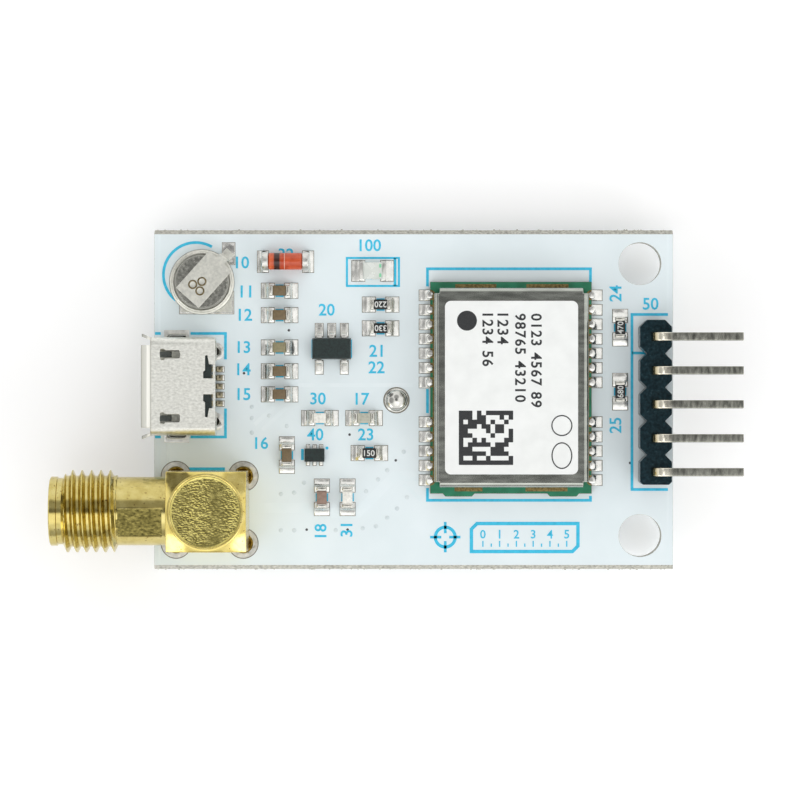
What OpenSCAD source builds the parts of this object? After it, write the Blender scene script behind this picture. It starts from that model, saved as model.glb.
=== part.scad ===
// Satellite positioning receiver board with an antenna jack, a USB socket and a bent pin header.
// The origin lies midway between the two mounting holes, on the underside of the board.
// +X points towards the header, +Y towards the backup cell and +Z up.

/* [Board] */
// Thickness of the board
board_t = 1.6; // [1:0.1:2]
// Board length behind the receiver
rear_len = 6.2; // [5.9:0.1:9]
// Clear board between the test point and the solder of the receiver
receiver_gap = 0.8; // [0.3:0.1:3]
// Depth of the scored groove left along each long edge
score_depth = 0.5; // [0.2:0.05:0.7]
// Lean of the scored groove, in from the edge
score_run = 0.3; // [0.1:0.05:0.5]
// Grid on which the small parts are set out
grid = 0.05; // [0.046:0.001:0.06]

/* [Mounting holes] */
// Diameter of the mounting holes
hole_d = 3.2; // [2.2:0.1:3.6]
// Distance between the mounting holes
hole_spacing = 20.6; // [19.5:0.1:26]
// Hole centre to the header end of the board
hole_edge_x = 2.5; // [2.3:0.1:2.8]
// Hole centre to the long edge of the board
hole_edge_y = 2.55; // [2.3:0.05:4]

/* [Solder] */
// Thickness of the tinned pads
pad_t = 0.05; // [0.03:0.01:0.1]
// Width of the ring of each plated hole
ring_w = 0.35; // [0.25:0.05:0.4]
// Room between a lead and the wall of its hole
lead_clear = 0.1; // [0.05:0.05:0.2]
// Reach of the cut leads below the board
tail = 1.4; // [1:0.1:2]
// Height of the solder cones under the board
cone_h = 0.8; // [0.4:0.1:0.9]

/* [Pin header] */
// Number of pins
pin_count = 5; // [2:1:6]
// Distance from pin to pin
pin_pitch = 2.54; // [2:0.02:2.6]
// Side of the square pins
pin_w = 0.64; // [0.5:0.02:0.7]
// Width of the plastic strip
header_w = 2.4; // [2.2:0.02:2.8]
// Height of the plastic strip
header_h = 2.54; // [2:0.02:3]
// Length broken off the free end of the last segment
header_short = 0.3; // [0:0.05:0.5]
// Bevel on the corners of each segment
header_bevel = 0.52; // [0.3:0.02:0.7]
// Row of pins to the end of the board
header_edge = 1.44; // [1.2:0.02:1.7]
// Middle of the row, off the centre line of the board
header_y = -0.35; // [-0.6:0.05:0.6]
// Height of the flat run of the pins above the plastic
pin_rise = 0.85; // [0.75:0.05:1.5]
// Reach of the pins from their row
pin_out = 6.5; // [4:0.1:9]
// Bend radius on the centre line of a pin
pin_bend = 0.6; // [0.4:0.05:0.7]

/* [Receiver] */
// Receiver size along the board
receiver_l = 12.2; // [11:0.1:14]
// Receiver size across the board
receiver_w = 16; // [15.6:0.1:18]
// Thickness of the receiver's own board
receiver_t = 0.8; // [0.6:0.1:1]
// Middle of the receiver, off the centre line
receiver_y = 0.9; // [0:0.1:1.5]
// Pitch of the edge contacts
contact_pitch = 1.1; // [1:0.02:1.14]
// Edge contact to the end of the receiver
contact_end = 1; // [0.8:0.05:1.2]
// Radius of the half holes at the edge contacts
contact_r = 0.28; // [0.2:0.02:0.35]
// Width of the solder at an edge contact
contact_w = 0.8; // [0.7:0.02:0.9]
// Reach of the solder beyond the receiver
contact_out = 0.83; // [0.5:0.01:1]
// Bare rim of the receiver board beside the can
can_rim = 0.3; // [0.2:0.05:0.5]
// Bare rim of the receiver board at the ends of the can
can_end = 0.5; // [0.4:0.05:0.8]
// Height of the shield can
can_h = 1.6; // [1.4:0.1:2.5]
// Sheet thickness of the can
can_t = 0.15; // [0.1:0.05:0.2]
// Outer bend radius of the can
can_r = 0.35; // [0.25:0.05:0.5]
// Side of the open corner reliefs of the can
can_relief = 0.4; // [0.3:0.05:0.6]
// Margin of the label on the top of the can, along the board
label_margin_x = 0.8; // [0.5:0.05:1.5]
// Margin of the label on the top of the can, across the board
label_margin_y = 0.98; // [0.5:0.02:1.5]
// Thickness of the label
label_t = 0.08; // [0.05:0.01:0.15]
// Corner radius of the label
label_r = 0.45; // [0.2:0.05:0.8]

/* [Antenna jack] */
// Pitch of the four legs
jack_pitch = 5.08; // [4.8:0.02:5.6]
// Side of the square legs
jack_leg = 0.92; // [0.7:0.02:1.1]
// Height of the jack block
jack_h = 6.5; // [6.2:0.1:7.5]
// Height of the barrel axis above the foot of the block
jack_axis = 3.3; // [3.2:0.1:3.6]
// Block to the end of the board
jack_edge_x = 1.2; // [0.6:0.1:2]
// Block to the long edge of the board
jack_edge_y = 1.5; // [1.2:0.05:2]
// Slope of the turned corners on top of the block
jack_slope = 30; // [15:1:45]
// Diameter of the flat land on top of the block
jack_land_d = 5.7; // [5.6:0.05:5.9]
// Diameter of the pressed cap
jack_cap_d = 5.3; // [4.8:0.05:5.5]
// Thickness of the pressed cap
jack_cap_t = 0.4; // [0.3:0.05:0.6]
// Length of the plain neck of the barrel
neck_len = 3.7; // [3:0.1:5]
// Diameter of the plain neck
neck_d = 5.15; // [5.05:0.05:5.6]
// Size across the two flats of the neck
neck_flats = 4.66; // [4.5:0.02:4.9]
// Turn of the flats about the barrel
neck_turn = 20; // [0:5:90]
// Length of the threaded stretch
thread_len = 4.1; // [3:0.1:6]
// Outer diameter of the threaded stretch
thread_d = 6.2; // [6:0.05:6.35]
// Length of the plain end ring
nose_len = 0.95; // [0.8:0.05:1.5]
// Diameter of the plain end ring
nose_d = 5.2; // [5.1:0.05:5.4]
// Diameter of the mouth of the barrel
mouth_d = 4.6; // [4.4:0.05:4.7]
// Depth of the mouth of the barrel
mouth_depth = 1.6; // [1:0.1:2]
// Diameter of the white insulator
insulator_d = 4.1; // [3.6:0.1:4.2]
// Diameter of the centre contact
contact_d = 1.27; // [1:0.01:1.4]

/* [USB socket] */
// Width of the folded shell
usb_w = 7.4; // [7.2:0.1:7.8]
// Height of the folded shell
usb_h = 2.5; // [2.4:0.1:3]
// Length of the folded shell, without its lips
usb_l = 4.9; // [4.8:0.1:6]
// Sheet thickness of the shell
usb_t = 0.25; // [0.2:0.01:0.3]
// Radius of the upper edges of the shell
usb_round = 0.6; // [0.4:0.05:0.7]
// Bevel of the lower edges of the shell
usb_bevel = 0.9; // [0.7:0.05:1]
// Reach of the shell past the end of the board
usb_out = 0.16; // [0.1:0.02:0.5]
// Length of the flared lips at the mouth
lip_len = 0.66; // [0.4:0.02:0.9]
// Spread of the flared lips at the mouth
lip_spread = 0.28; // [0.15:0.01:0.4]
// Middle of the socket, off the centre line
usb_y = 1.0; // [0.5:0.05:1.3]
// Pitch of the five contacts
usb_pitch = 0.65; // [0.6:0.01:0.68]
// Width of the contacts
usb_contact_w = 0.4; // [0.3:0.02:0.45]
// Thickness of the contacts
usb_contact_t = 0.15; // [0.1:0.01:0.2]

/* [Backup cell] */
// Diameter of the cell
cell_d = 4.75; // [4.2:0.05:5]
// Height of the cell
cell_h = 1.4; // [1:0.1:2]
// Cell to the end of the board
cell_edge_x = 1.3; // [0.5:0.1:2]
// Cell to the long edge of the board
cell_edge_y = 1.6; // [1.3:0.1:2]
// Thickness of the welded tabs
tab_t = 0.12; // [0.08:0.02:0.2]
// Length of the upper tab
tab_l = 3.75; // [3:0.05:4]
// Width of the upper tab
tab_w = 2.3; // [1.5:0.05:2.6]
// Direction of the upper tab
tab_turn = 48; // [40:1:60]

/* [Chip parts] */
// Length of the chip parts
chip_l = 1.6; // [1.5:0.05:1.8]
// Width of the chip parts
chip_w = 0.82; // [0.7:0.02:0.9]
// Height of the chip capacitors and inductors
chip_h = 0.8; // [0.5:0.05:1]
// Height of the chip resistors
resistor_h = 0.45; // [0.35:0.05:0.6]
// Length of the metal end caps
chip_cap = 0.32; // [0.2:0.02:0.4]
// Reach of the solder past each end
solder_out = 0.585; // [0.3:0.005:0.65]
// Width of the solder pads
solder_w = 1.14; // [1:0.02:1.2]
// Length of each pad under the part
solder_in = 0.4; // [0.3:0.02:0.5]

/* [Diode, lamp and chips] */
// Length of the glass diode
diode_l = 3.5; // [3.2:0.05:3.8]
// Diameter of the metal ends of the diode
diode_d = 1.4; // [1.2:0.05:1.6]
// Diameter of the glass
glass_d = 1.28; // [1.1:0.02:1.4]
// Length of the lamp
lamp_l = 2; // [1.8:0.05:2.2]
// Width of the lamp
lamp_w = 1.25; // [1:0.05:1.4]
// Height of the lamp
lamp_h = 0.8; // [0.7:0.05:1.1]
// Length of the regulator body
reg_l = 2.95; // [2.8:0.05:3.1]
// Width of the regulator body
reg_w = 1.6; // [1.5:0.05:1.7]
// Height of the regulator body
reg_h = 1.1; // [0.9:0.05:1.3]
// Pitch of the regulator leads
reg_pitch = 0.95; // [0.9:0.01:1]
// Length of the amplifier body
amp_l = 1.5; // [1.4:0.05:1.6]
// Width of the amplifier body
amp_w = 1; // [0.9:0.05:1.1]
// Height of the amplifier body
amp_h = 0.55; // [0.4:0.05:0.8]
// Pitch of the amplifier leads
amp_pitch = 0.5; // [0.48:0.01:0.55]
// Diameter of the pad of the test point
point_d = 1.84; // [1.5:0.02:2]
// Diameter of the plated hole of the test point
point_hole_d = 1; // [0.8:0.05:1.2]

/* [Hidden] */
$fn = 48;
eps = 0.01;
seat = board_t + pad_t;

// Small parts as [along, across, turn]: grid steps from the jack end and from the centre line, and degrees
capacitors = [[190, 165, 0], [190, 128, 0], [190, 79, 0], [190, 43, 0], [190, 8, 0], [318, -28, 0],
              [201, -84, 90], [254, -148, 90]];
inductors = [[251, -28, 0], [293, -148, 90]];
front_resistors = [[343, 144, 0], [343, 108, 0], [326, -81, 0]];
rear_resistors = [109, 12];
lamp_at = [331, 195];
diode_at = [199, 209];
regulator_at = [269, 77];
amplifier_at = [243, -84];
point_at = [367, -1];

// The outline of the board follows what it carries
receiver_left = point_at[0] * grid + point_d / 2 + receiver_gap + contact_out;
board_l = receiver_left + receiver_l + rear_len;
board_w = hole_spacing + 2 * hole_edge_y;
left_x = hole_edge_x - board_l;
right_x = hole_edge_x;
receiver_x = left_x + receiver_left + receiver_l / 2;
header_x = right_x - header_edge;
rear_resistor_x = (receiver_x + receiver_l / 2 + contact_out + header_x - header_w / 2) / 2;

// Antenna jack
jack_w = jack_pitch + jack_leg;
jack_x = left_x + jack_edge_x + jack_w / 2;
jack_y = jack_edge_y + jack_w / 2 - board_w / 2;
leg_hole_r = jack_leg / sqrt(2) + lead_clear;
spigot_step = 0.15;
spigot_d = neck_d - 2 * spigot_step;
spigot_len = 0.8;
jack_well_d = 4.2;
jack_pin_d = 1;
jack_bush_d = 3;
jack_bore_end = 1.2;
jack_reach = jack_w / 2 + neck_len + thread_len + nose_len - mouth_depth;
socket_depth = 2.5;
socket_wall = 0.17;
thread_bevel = 0.3;
nose_groove = 0.35;
nose_step = 0.1;
flat_start = 0.3;
flat_stop = 0.12;
pin_hole_r = pin_w / sqrt(2) + lead_clear;
centre_hole_r = jack_pin_d / 2 + lead_clear;

// USB socket
usb_x = left_x - usb_out;
tab_at = 1.86;
tab_wide = 1.1;
tab_room = 0.22;
tab_drop = 0.3;
peg_side = 2.65;
peg_wide = 0.4;
peg_hole_r = 0.33;
block_at = 2.9;
tongue_w = 3.9;
tongue_t = 0.6;
tongue_z = 1.1;
tongue_at = 0.5;
usb_bend = 0.25;
foot_len = 0.3;
block_back = 0.34;
block_end = usb_l - block_back;
usb_foot_end = block_end + 2 * usb_bend + foot_len;
contact_inset = 0.1;
usb_pad_more = 0.1;
foot_cut = [0.7, 3.8];
slot_at = 0.75;
slot_l = 1.5;
slot_w = 0.6;
slot_round = 0.14;
slot_side = 2.4;
root_l = 0.36;
root_w = 0.86;
finger_l = 0.85;
finger_w = 0.44;
finger_dip = 0.4;
rear_rim = 0.17;
// Half of the open pattern in the rear of the shell, from the rear rim and the centre line
rear_pattern = [[-0.74, 0.6], [0, 0.6], [0, 1.65], [-0.3, 1.65], [-0.42, 2.35], [-0.6, 2.3], [-0.6, 1.2],
                [-0.74, 1.1]];

// Backup cell
cell_x = left_x + cell_edge_x + cell_d / 2;
cell_y = board_w / 2 - cell_edge_y - cell_d / 2;
cell_foot_z = seat + tab_t;
cell_top_z = cell_foot_z + cell_h;
cell_rim = 0.42;
cell_shoulder = 0.25;
lid_r = cell_d / 2 - cell_rim;
gasket_t = 0.1;
cell_wall = cell_rim - gasket_t;
tab_bend = 0.2;
tab_shift = 0.25;
tab_leg_w = 0.8;
tab_foot = 0.45;
tab_clear = 0.08;
weld_r = 0.3;
weld_ring = 0.42;
weld_back = 0.64;
weld_dip = 0.04;
tab_leg_at = cell_d / 2 + tab_clear + tab_t / 2;
tab_foot_at = tab_leg_at + tab_bend + tab_foot / 2;
cell_pad = [0.95, 1.65];
low_pad = [4.1, 1.7];
low_pad_at = 1.75;
low_pad_rim = 0.12;
low_pad_y = cell_y - cell_d / 2;

// Receiver
can_l = receiver_l - 2 * can_rim;
can_w = receiver_w - 2 * can_end;
can_z = seat + receiver_t;
contact_first = receiver_w / 2 - contact_end;
contacts = concat([for (i = [0:6]) contact_first - i * contact_pitch],
                  [for (i = [4:-1:0]) i * contact_pitch - contact_first]);
contact_fill = 0.8;
break_tab_l = 2.4;
break_tab_out = 0.22;
break_tab_slope = 0.2;
break_tab_at = 3.95;
notch_h = 0.25;
notch_l = 2.6;
side_notch_at = 0.3;
end_notch_at = 0.25;
receiver_chip_size = [5, 5, 0.85];
filter_size = [1.4, 1.1, 0.5];
crystal_size = [3.2, 2.5, 0.45];
crystal_lid = [2.8, 2.1, 0.25];
passive_size = [1, 0.5, 0.5];
// Places under the can, as shares of its length and width
receiver_chip_at = [0, -1 / 6];
filter_at = [-0.26, 0.19];
crystal_at = [0.16, 0.26];
passives_at = [[-0.3, 0], [-0.3, -0.08], [0.3, 0.01], [0.3, -0.07], [-0.17, -0.4], [0.17, -0.4], [-0.06, 0.14]];

// Diode, lamp and chips
diode_cap = 0.45;
slug_d = glass_d - 0.4;
die_t = 0.16;
diode_z = seat + diode_d / 2;
lamp_end = 0.35;
lamp_base_h = 0.3;
lamp_die = [0.3, 0.3, 0.12];
lens_inset = 0.25;
lens_draft = 0.1;
lamp_pad_more = 0.3;
diode_pad_out = 0.38;
diode_pad_more = 0.22;
reg_lead_w = 0.4;
reg_lead_t = 0.15;
reg_bend = 0.15;
reg_lead_turn = 75;
reg_lead_out = 0.15;
reg_pad = [0.6, 1.02];
reg_pad_at = 0.1;
reg_foot = 0.35;
reg_stand = 0.05;
reg_draft = 0.08;
amp_lead_w = 0.24;
amp_lead_t = 0.15;
amp_lead_in = 0.2;
amp_lead_out = 0.18;
amp_pad_out = 0.28;
end_fillet = 0.6;
chip_slim = 0.03;
point_rise = 0.45;
point_rim = 0.12;

// A place on the board, from grid steps
function spot(at) = [left_x + at[0] * grid, at[1] * grid];

// A resistor's place: the front ones follow the grid, the rear ones stand in the gap before the header
function resistor_place(i) = i < len(front_resistors)
    ? [spot(front_resistors[i])[0], spot(front_resistors[i])[1], front_resistors[i][2]]
    : [rear_resistor_x, rear_resistors[i - len(front_resistors)] * grid, 90];
resistors = [for (i = [0:len(front_resistors) + len(rear_resistors) - 1]) resistor_place(i)];

// Every chip part with its height, for the end caps and the solder
chips = concat([for (c = concat(capacitors, inductors)) [spot(c)[0], spot(c)[1], c[2], chip_h]],
               [for (r = resistors) [r[0], r[1], r[2], resistor_h]]);

function header_pin_y(i) = header_y + ((pin_count + 1) / 2 - i) * pin_pitch;
leg_places = [for (x = [-1, 1], y = [-1, 1]) [jack_x + x * jack_pitch / 2, jack_y + y * jack_pitch / 2]];
pin_places = [for (i = [1:pin_count]) [header_x, header_pin_y(i)]];
tab_places = [for (s = [-1, 1]) [usb_x + tab_at, usb_y + s * (usb_w - usb_t) / 2]];
peg_places = [for (s = [-1, 1]) [usb_x + usb_l - usb_t / 2, usb_y + s * peg_side]];
amp_lead_places = [for (i = [-1:1], s = [-1, 1]) [i * amp_pitch, s]];
reg_lead_places = [[-1, 1], [0, 1], [1, 1], [-1, -1], [1, -1]];

// Flat outline with round corners
module rounded(l, w, r) {
    square([l - 2 * r, w], center = true);
    square([l, w - 2 * r], center = true);
    for (x = [-1, 1], y = [-1, 1])
        translate([x * (l / 2 - r), y * (w / 2 - r)]) circle(r);
}

// Upright ring
module ring(outer_r, inner_r, h) {
    difference() {
        cylinder(r = outer_r, h = h);
        translate([0, 0, -eps]) cylinder(r = inner_r, h = h + 2 * eps);
    }
}

// Slice of a flat ring, from the X axis round by turn
module ring_slice(r, t, turn) {
    reach = 2 * (r + t);
    intersection() {
        difference() {
            circle(r + t / 2);
            circle(r - t / 2);
        }
        polygon(concat([[0, 0]], [for (a = [0, turn / 2, turn]) reach * [cos(a), sin(a)]]));
    }
}

// Edge view of a bent strip: each step is a straight run and the turn after it
module bent_strip(steps, t, r, i = 0) {
    run = steps[i][0];
    turn = steps[i][1];
    side = turn < 0 ? -1 : 1;
    translate([0, -t / 2]) square([run, t]);
    if (i < len(steps) - 1) {
        translate([run, 0]) {
            mirror([0, side < 0 ? 1 : 0])
                translate([0, r]) rotate(-90) ring_slice(r, t, abs(turn));
            translate([r * sin(abs(turn)), side * r * (1 - cos(turn))])
                rotate(turn) bent_strip(steps, t, r, i + 1);
        }
    }
}

// Stands a flat view upright, facing -Y, and gives it a width centred on the XZ plane
module upright(width) {
    rotate([90, 0, 0]) linear_extrude(width, center = true) children();
}

// Tinned pad with a hollow fillet rising to the end of a part that ends at x = 0
module fillet_pad(inside, outside, width, rise) {
    r = (outside * outside + rise * rise) / (2 * rise);
    translate([0, 0, board_t]) upright(width)
        difference() {
            translate([-inside, 0]) square([inside + outside, pad_t + rise]);
            translate([outside, pad_t + r]) circle(r);
            translate([-inside - eps, pad_t]) square([inside + eps, rise + eps]);
        }
}

// Both pads of a two ended part
module pad_pair(length, inside, outside, width, rise) {
    for (s = [0, 180])
        rotate(s) translate([length / 2, 0]) fillet_pad(inside, outside, width, rise);
}

// Board with scored long edges and all its holes
module main_board() {
    half = board_w / 2;
    color([0.89, 0.93, 0.94]) difference() {
        translate([left_x, 0, 0]) rotate([90, 0, 90]) linear_extrude(board_l)
            polygon([[score_run - half, 0], [half - score_run, 0], [half, score_depth],
                     [half, board_t - score_depth], [half - score_run, board_t],
                     [score_run - half, board_t], [-half, board_t - score_depth], [-half, score_depth]]);
        for (s = [-1, 1])
            translate([0, s * hole_spacing / 2, -eps]) cylinder(d = hole_d, h = board_t + 2 * eps);
        for (p = leg_places) drill(p, leg_hole_r);
        for (p = pin_places) drill(p, pin_hole_r);
        for (p = peg_places) drill(p, peg_hole_r);
        drill([jack_x, jack_y], centre_hole_r);
        drill(spot(point_at), point_hole_d / 2);
        for (p = tab_places)
            translate([p[0], p[1], -eps]) linear_extrude(board_t + 2 * eps) tab_slot();
    }
}

module drill(at, r) {
    translate([at[0], at[1], -eps]) cylinder(r = r, h = board_t + 2 * eps);
}

// Rounded slot for a side tab of the USB shell
module tab_slot() {
    rounded(tab_wide + 2 * tab_room, usb_t + 2 * tab_room, (usb_t + 2 * tab_room) / 2 - eps);
}

// Tinned rings round the plated holes, on both faces where they can be seen
module hole_rings() {
    color("silver") {
        for (p = leg_places, z = [-pad_t, board_t])
            translate([p[0], p[1], z]) ring(leg_hole_r + ring_w, leg_hole_r, pad_t);
        for (p = pin_places)
            translate([p[0], p[1], -pad_t]) ring(pin_hole_r + ring_w, pin_hole_r, pad_t);
        for (p = peg_places, z = [-pad_t, board_t])
            translate([p[0], p[1], z]) ring(peg_hole_r + ring_w, peg_hole_r, pad_t);
        translate([jack_x, jack_y, -pad_t]) ring(centre_hole_r + ring_w, centre_hole_r, pad_t);
        for (p = tab_places, z = [-pad_t, board_t])
            translate([p[0], p[1], z]) linear_extrude(pad_t) difference() {
                square([tab_wide + 2 * tab_room + ring_w, usb_t + 2 * tab_room + 2 * ring_w], center = true);
                tab_slot();
            }
    }
}

// Solder cones that hold the leads under the board
module pin_solder() {
    color("gainsboro") {
        for (p = leg_places)
            lead_cone(p, leg_hole_r) cube([jack_leg, jack_leg, 3 * cone_h], center = true);
        for (p = pin_places)
            lead_cone(p, pin_hole_r) cube([pin_w, pin_w, 3 * cone_h], center = true);
        lead_cone([jack_x, jack_y], centre_hole_r) cylinder(d = jack_pin_d, h = 3 * cone_h, center = true);
        for (p = tab_places)
            translate([p[0], p[1], -pad_t - tab_drop]) linear_extrude(tab_drop) difference() {
                rounded(tab_wide + 2 * tab_room, usb_t + 2 * tab_room, usb_t / 2 + tab_room - eps);
                square([tab_wide, usb_t], center = true);
            }
        for (p = peg_places)
            translate([p[0], p[1], -pad_t - tab_drop]) difference() {
                cylinder(r1 = peg_hole_r, r2 = peg_hole_r + ring_w / 2, h = tab_drop);
                cube([usb_t, peg_wide, 3 * tab_drop], center = true);
            }
    }
}

module lead_cone(at, hole_r) {
    translate([at[0], at[1], -pad_t - cone_h]) difference() {
        cylinder(r1 = hole_r, r2 = hole_r + ring_w, h = cone_h);
        children();
    }
}

// Pads and fillets of all the surface parts
module surface_solder() {
    color("gainsboro") {
        for (c = chips)
            translate([c[0], c[1], 0]) rotate(c[2])
                pad_pair(chip_l, solder_in, solder_out, solder_w, c[3] * end_fillet);
        translate(concat(spot(lamp_at), 0))
            pad_pair(lamp_l, solder_in, solder_out, lamp_w + lamp_pad_more, lamp_base_h * end_fillet);
        translate(concat(spot(diode_at), 0))
            pad_pair(diode_l, diode_cap, diode_pad_out, diode_d + diode_pad_more, diode_d / 2 * end_fillet);
        translate(concat(spot(regulator_at), board_t)) for (p = reg_lead_places)
            translate([p[0] * reg_pitch, p[1] * (reg_w / 2 + reg_pad_at + reg_pad[1] / 2), pad_t / 2])
                cube([reg_pad[0], reg_pad[1], pad_t], center = true);
        translate(concat(spot(amplifier_at), board_t)) for (p = amp_lead_places)
            translate([p[0], p[1] * (amp_w + amp_pad_out - amp_lead_in) / 2, pad_t / 2])
                cube([amp_lead_w, amp_lead_in + amp_pad_out, pad_t], center = true);
        for (i = [-2:2])
            translate([usb_x + usb_l, usb_y + i * usb_pitch - usb_contact_w / 2, board_t])
                cube([usb_foot_end - usb_l + usb_pad_more, usb_contact_w, pad_t]);
        translate([cell_x, cell_y, board_t]) rotate(tab_turn) translate([tab_foot_at, 0, 0]) rotate(-tab_turn)
            translate([-cell_pad[0] / 2, -cell_pad[1] / 2, 0]) cube([cell_pad[0], cell_pad[1], pad_t]);
        translate([cell_x - low_pad_at, low_pad_y, board_t]) cube([low_pad[0], low_pad[1], pad_t]);
    }
}

// Solder filled hole with a dome on each face
module test_point() {
    dome_r = point_d / 2 - point_rim;
    ball_r = (dome_r * dome_r + point_rise * point_rise) / (2 * point_rise);
    color("gainsboro") translate(concat(spot(point_at), 0)) {
        cylinder(d = point_hole_d, h = board_t);
        for (z = [-pad_t, board_t])
            translate([0, 0, z]) cylinder(d = point_d, h = pad_t);
        for (side = [0, 1])
            translate([0, 0, side * board_t]) mirror([0, 0, 1 - side]) translate([0, 0, pad_t])
                rotate_extrude() intersection() {
                    translate([0, point_rise - ball_r]) circle(ball_r);
                    square([dome_r, point_rise + eps]);
                }
    }
}

// Receiver board with half holes at its edge contacts and the stubs left by its panel
module receiver_board() {
    color([0.1, 0.36, 0.2]) translate([receiver_x, receiver_y, seat]) difference() {
        linear_extrude(receiver_t) {
            square([receiver_l, receiver_w], center = true);
            for (s = [-1, 1])
                translate([s * break_tab_at, -receiver_w / 2])
                    polygon([[-break_tab_l / 2, 0], [break_tab_slope - break_tab_l / 2, -break_tab_out],
                             [break_tab_l / 2 - break_tab_slope, -break_tab_out], [break_tab_l / 2, 0]]);
        }
        for (s = [-1, 1], y = contacts)
            translate([s * receiver_l / 2, y, -eps]) cylinder(r = contact_r, h = receiver_t + 2 * eps);
    }
}

// Solder in the half holes, with the pads that stand out beside the receiver
module receiver_solder() {
    fill_h = receiver_t * contact_fill;
    color("gainsboro") for (s = [0, 180], y = contacts)
        translate([receiver_x, receiver_y, 0]) rotate(s) translate([receiver_l / 2, s == 0 ? y : -y, 0]) {
            fillet_pad(solder_in, contact_out, contact_w, receiver_t / 2);
            translate([0, 0, seat - eps]) cylinder(r = contact_r, h = fill_h);
        }
}

// Block under the can, standing on the receiver board
module on_receiver(at, size, lift = 0) {
    translate([receiver_x + at[0] * can_l, receiver_y + at[1] * can_w, can_z + lift + size[2] / 2])
        cube(size, center = true);
}

module receiver_chip() {
    color([0.12, 0.12, 0.13]) on_receiver(receiver_chip_at, receiver_chip_size);
}

module saw_filter() {
    color([0.8, 0.78, 0.7]) on_receiver(filter_at, filter_size);
}

module clock_crystal() {
    color("silver") {
        on_receiver(crystal_at, crystal_size);
        on_receiver(crystal_at, crystal_lid, crystal_size[2]);
    }
}

module receiver_passives() {
    color([0.55, 0.45, 0.35]) for (at = passives_at) on_receiver(at, passive_size);
}

// Folded sheet with two walls: an upside down U drawn across span
module folded_view(span, h) {
    difference() {
        fold_outline(span, h, can_r);
        fold_outline(span - 2 * can_t, h - can_t, can_r - can_t);
    }
}

module fold_outline(span, h, r) {
    translate([-span / 2, 0]) square([span, h - r]);
    translate([r - span / 2, 0]) square([span - 2 * r, h]);
    for (s = [-1, 1]) translate([s * (span / 2 - r), h - r]) circle(r);
}

// Shield can folded from one sheet, open at its four corners
module shield_can() {
    color([0.72, 0.72, 0.68]) translate([receiver_x, receiver_y, can_z]) difference() {
        union() {
            upright(can_w - 2 * can_relief) folded_view(can_l, can_h);
            rotate(90) upright(can_l - 2 * can_relief) folded_view(can_w, can_h);
        }
        for (s = [-1, 0, 1])
            translate([0, s * can_w * side_notch_at, notch_h / 2 - eps])
                cube([can_l + 2 * eps, notch_l, notch_h], center = true);
        for (s = [-1, 1])
            translate([s * can_l * end_notch_at, 0, notch_h / 2 - eps])
                cube([notch_l, can_w + 2 * eps, notch_h], center = true);
    }
}

module receiver_label() {
    color([0.96, 0.96, 0.95]) translate([receiver_x, receiver_y, can_z + can_h]) linear_extrude(label_t)
        rounded(can_l - 2 * label_margin_x, can_w - 2 * label_margin_y, label_r);
}

// Square block with turned corners on top, bored for the barrel, the centre pin and the cap
module jack_block() {
    drop = (jack_w - jack_land_d / 2) * tan(jack_slope);
    color([0.83, 0.66, 0.27]) translate([jack_x, jack_y, seat]) {
        difference() {
            intersection() {
                translate([-jack_w / 2, -jack_w / 2, 0]) cube([jack_w, jack_w, jack_h]);
                rotate_extrude()
                    polygon([[0, -eps], [jack_w, -eps], [jack_w, jack_h - drop],
                             [jack_land_d / 2, jack_h], [0, jack_h]]);
            }
            translate([0, 0, jack_h - jack_cap_t]) cylinder(d = jack_cap_d, h = jack_cap_t + eps);
            translate([0, 0, jack_axis]) cylinder(d = jack_well_d, h = jack_h);
            translate([0, 0, -eps]) cylinder(d = jack_bush_d, h = jack_axis);
            translate([jack_bore_end, 0, jack_axis]) rotate([0, -90, 0])
                cylinder(d = insulator_d, h = jack_bore_end + jack_w);
            translate([spigot_len - jack_w / 2, 0, jack_axis]) rotate([0, -90, 0])
                cylinder(d = spigot_d, h = spigot_len + eps);
        }
        for (x = [-1, 1], y = [-1, 1])
            translate([x * jack_pitch / 2 - jack_leg / 2, y * jack_pitch / 2 - jack_leg / 2, -seat - tail])
                cube([jack_leg, jack_leg, seat + tail + jack_leg]);
    }
}

// Turned barrel: spigot, neck with two flats, threaded stretch and end ring
module jack_barrel() {
    thread_end = neck_len + thread_len;
    tip = thread_end + nose_len;
    crest = thread_d / 2;
    nose = nose_d / 2;
    color([0.83, 0.66, 0.27]) translate([jack_x - jack_w / 2, jack_y, seat + jack_axis]) rotate([0, -90, 0])
        difference() {
            rotate_extrude()
                polygon([[insulator_d / 2, -spigot_len], [spigot_d / 2, -spigot_len], [spigot_d / 2, 0],
                         [neck_d / 2, 0], [neck_d / 2, neck_len], [crest - thread_bevel, neck_len],
                         [crest, neck_len + thread_bevel], [crest, thread_end - thread_bevel],
                         [crest - thread_bevel, thread_end], [nose - nose_step, thread_end],
                         [nose - nose_step, thread_end + nose_groove], [nose, thread_end + nose_groove],
                         [nose, tip - nose_step], [nose - nose_step, tip], [mouth_d / 2, tip],
                         [mouth_d / 2, tip - mouth_depth], [insulator_d / 2, tip - mouth_depth]]);
            for (s = [0, 180])
                rotate(neck_turn + s) translate([neck_flats / 2, -neck_d, flat_start])
                    cube([neck_d, 2 * neck_d, neck_len - flat_start - flat_stop]);
        }
}

module jack_cap() {
    color([0.8, 0.62, 0.24]) translate([jack_x, jack_y, seat + jack_h - jack_cap_t])
        cylinder(d = jack_cap_d, h = jack_cap_t);
}

// White insulator: a rod along the barrel and a bush down to the board
module jack_insulator() {
    color("white") translate([jack_x, jack_y, seat]) difference() {
        union() {
            translate([jack_bore_end, 0, jack_axis]) rotate([0, -90, 0])
                cylinder(d = insulator_d, h = jack_bore_end + jack_reach);
            cylinder(d = jack_bush_d, h = jack_axis - eps);
        }
        contact_rods();
    }
}

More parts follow.
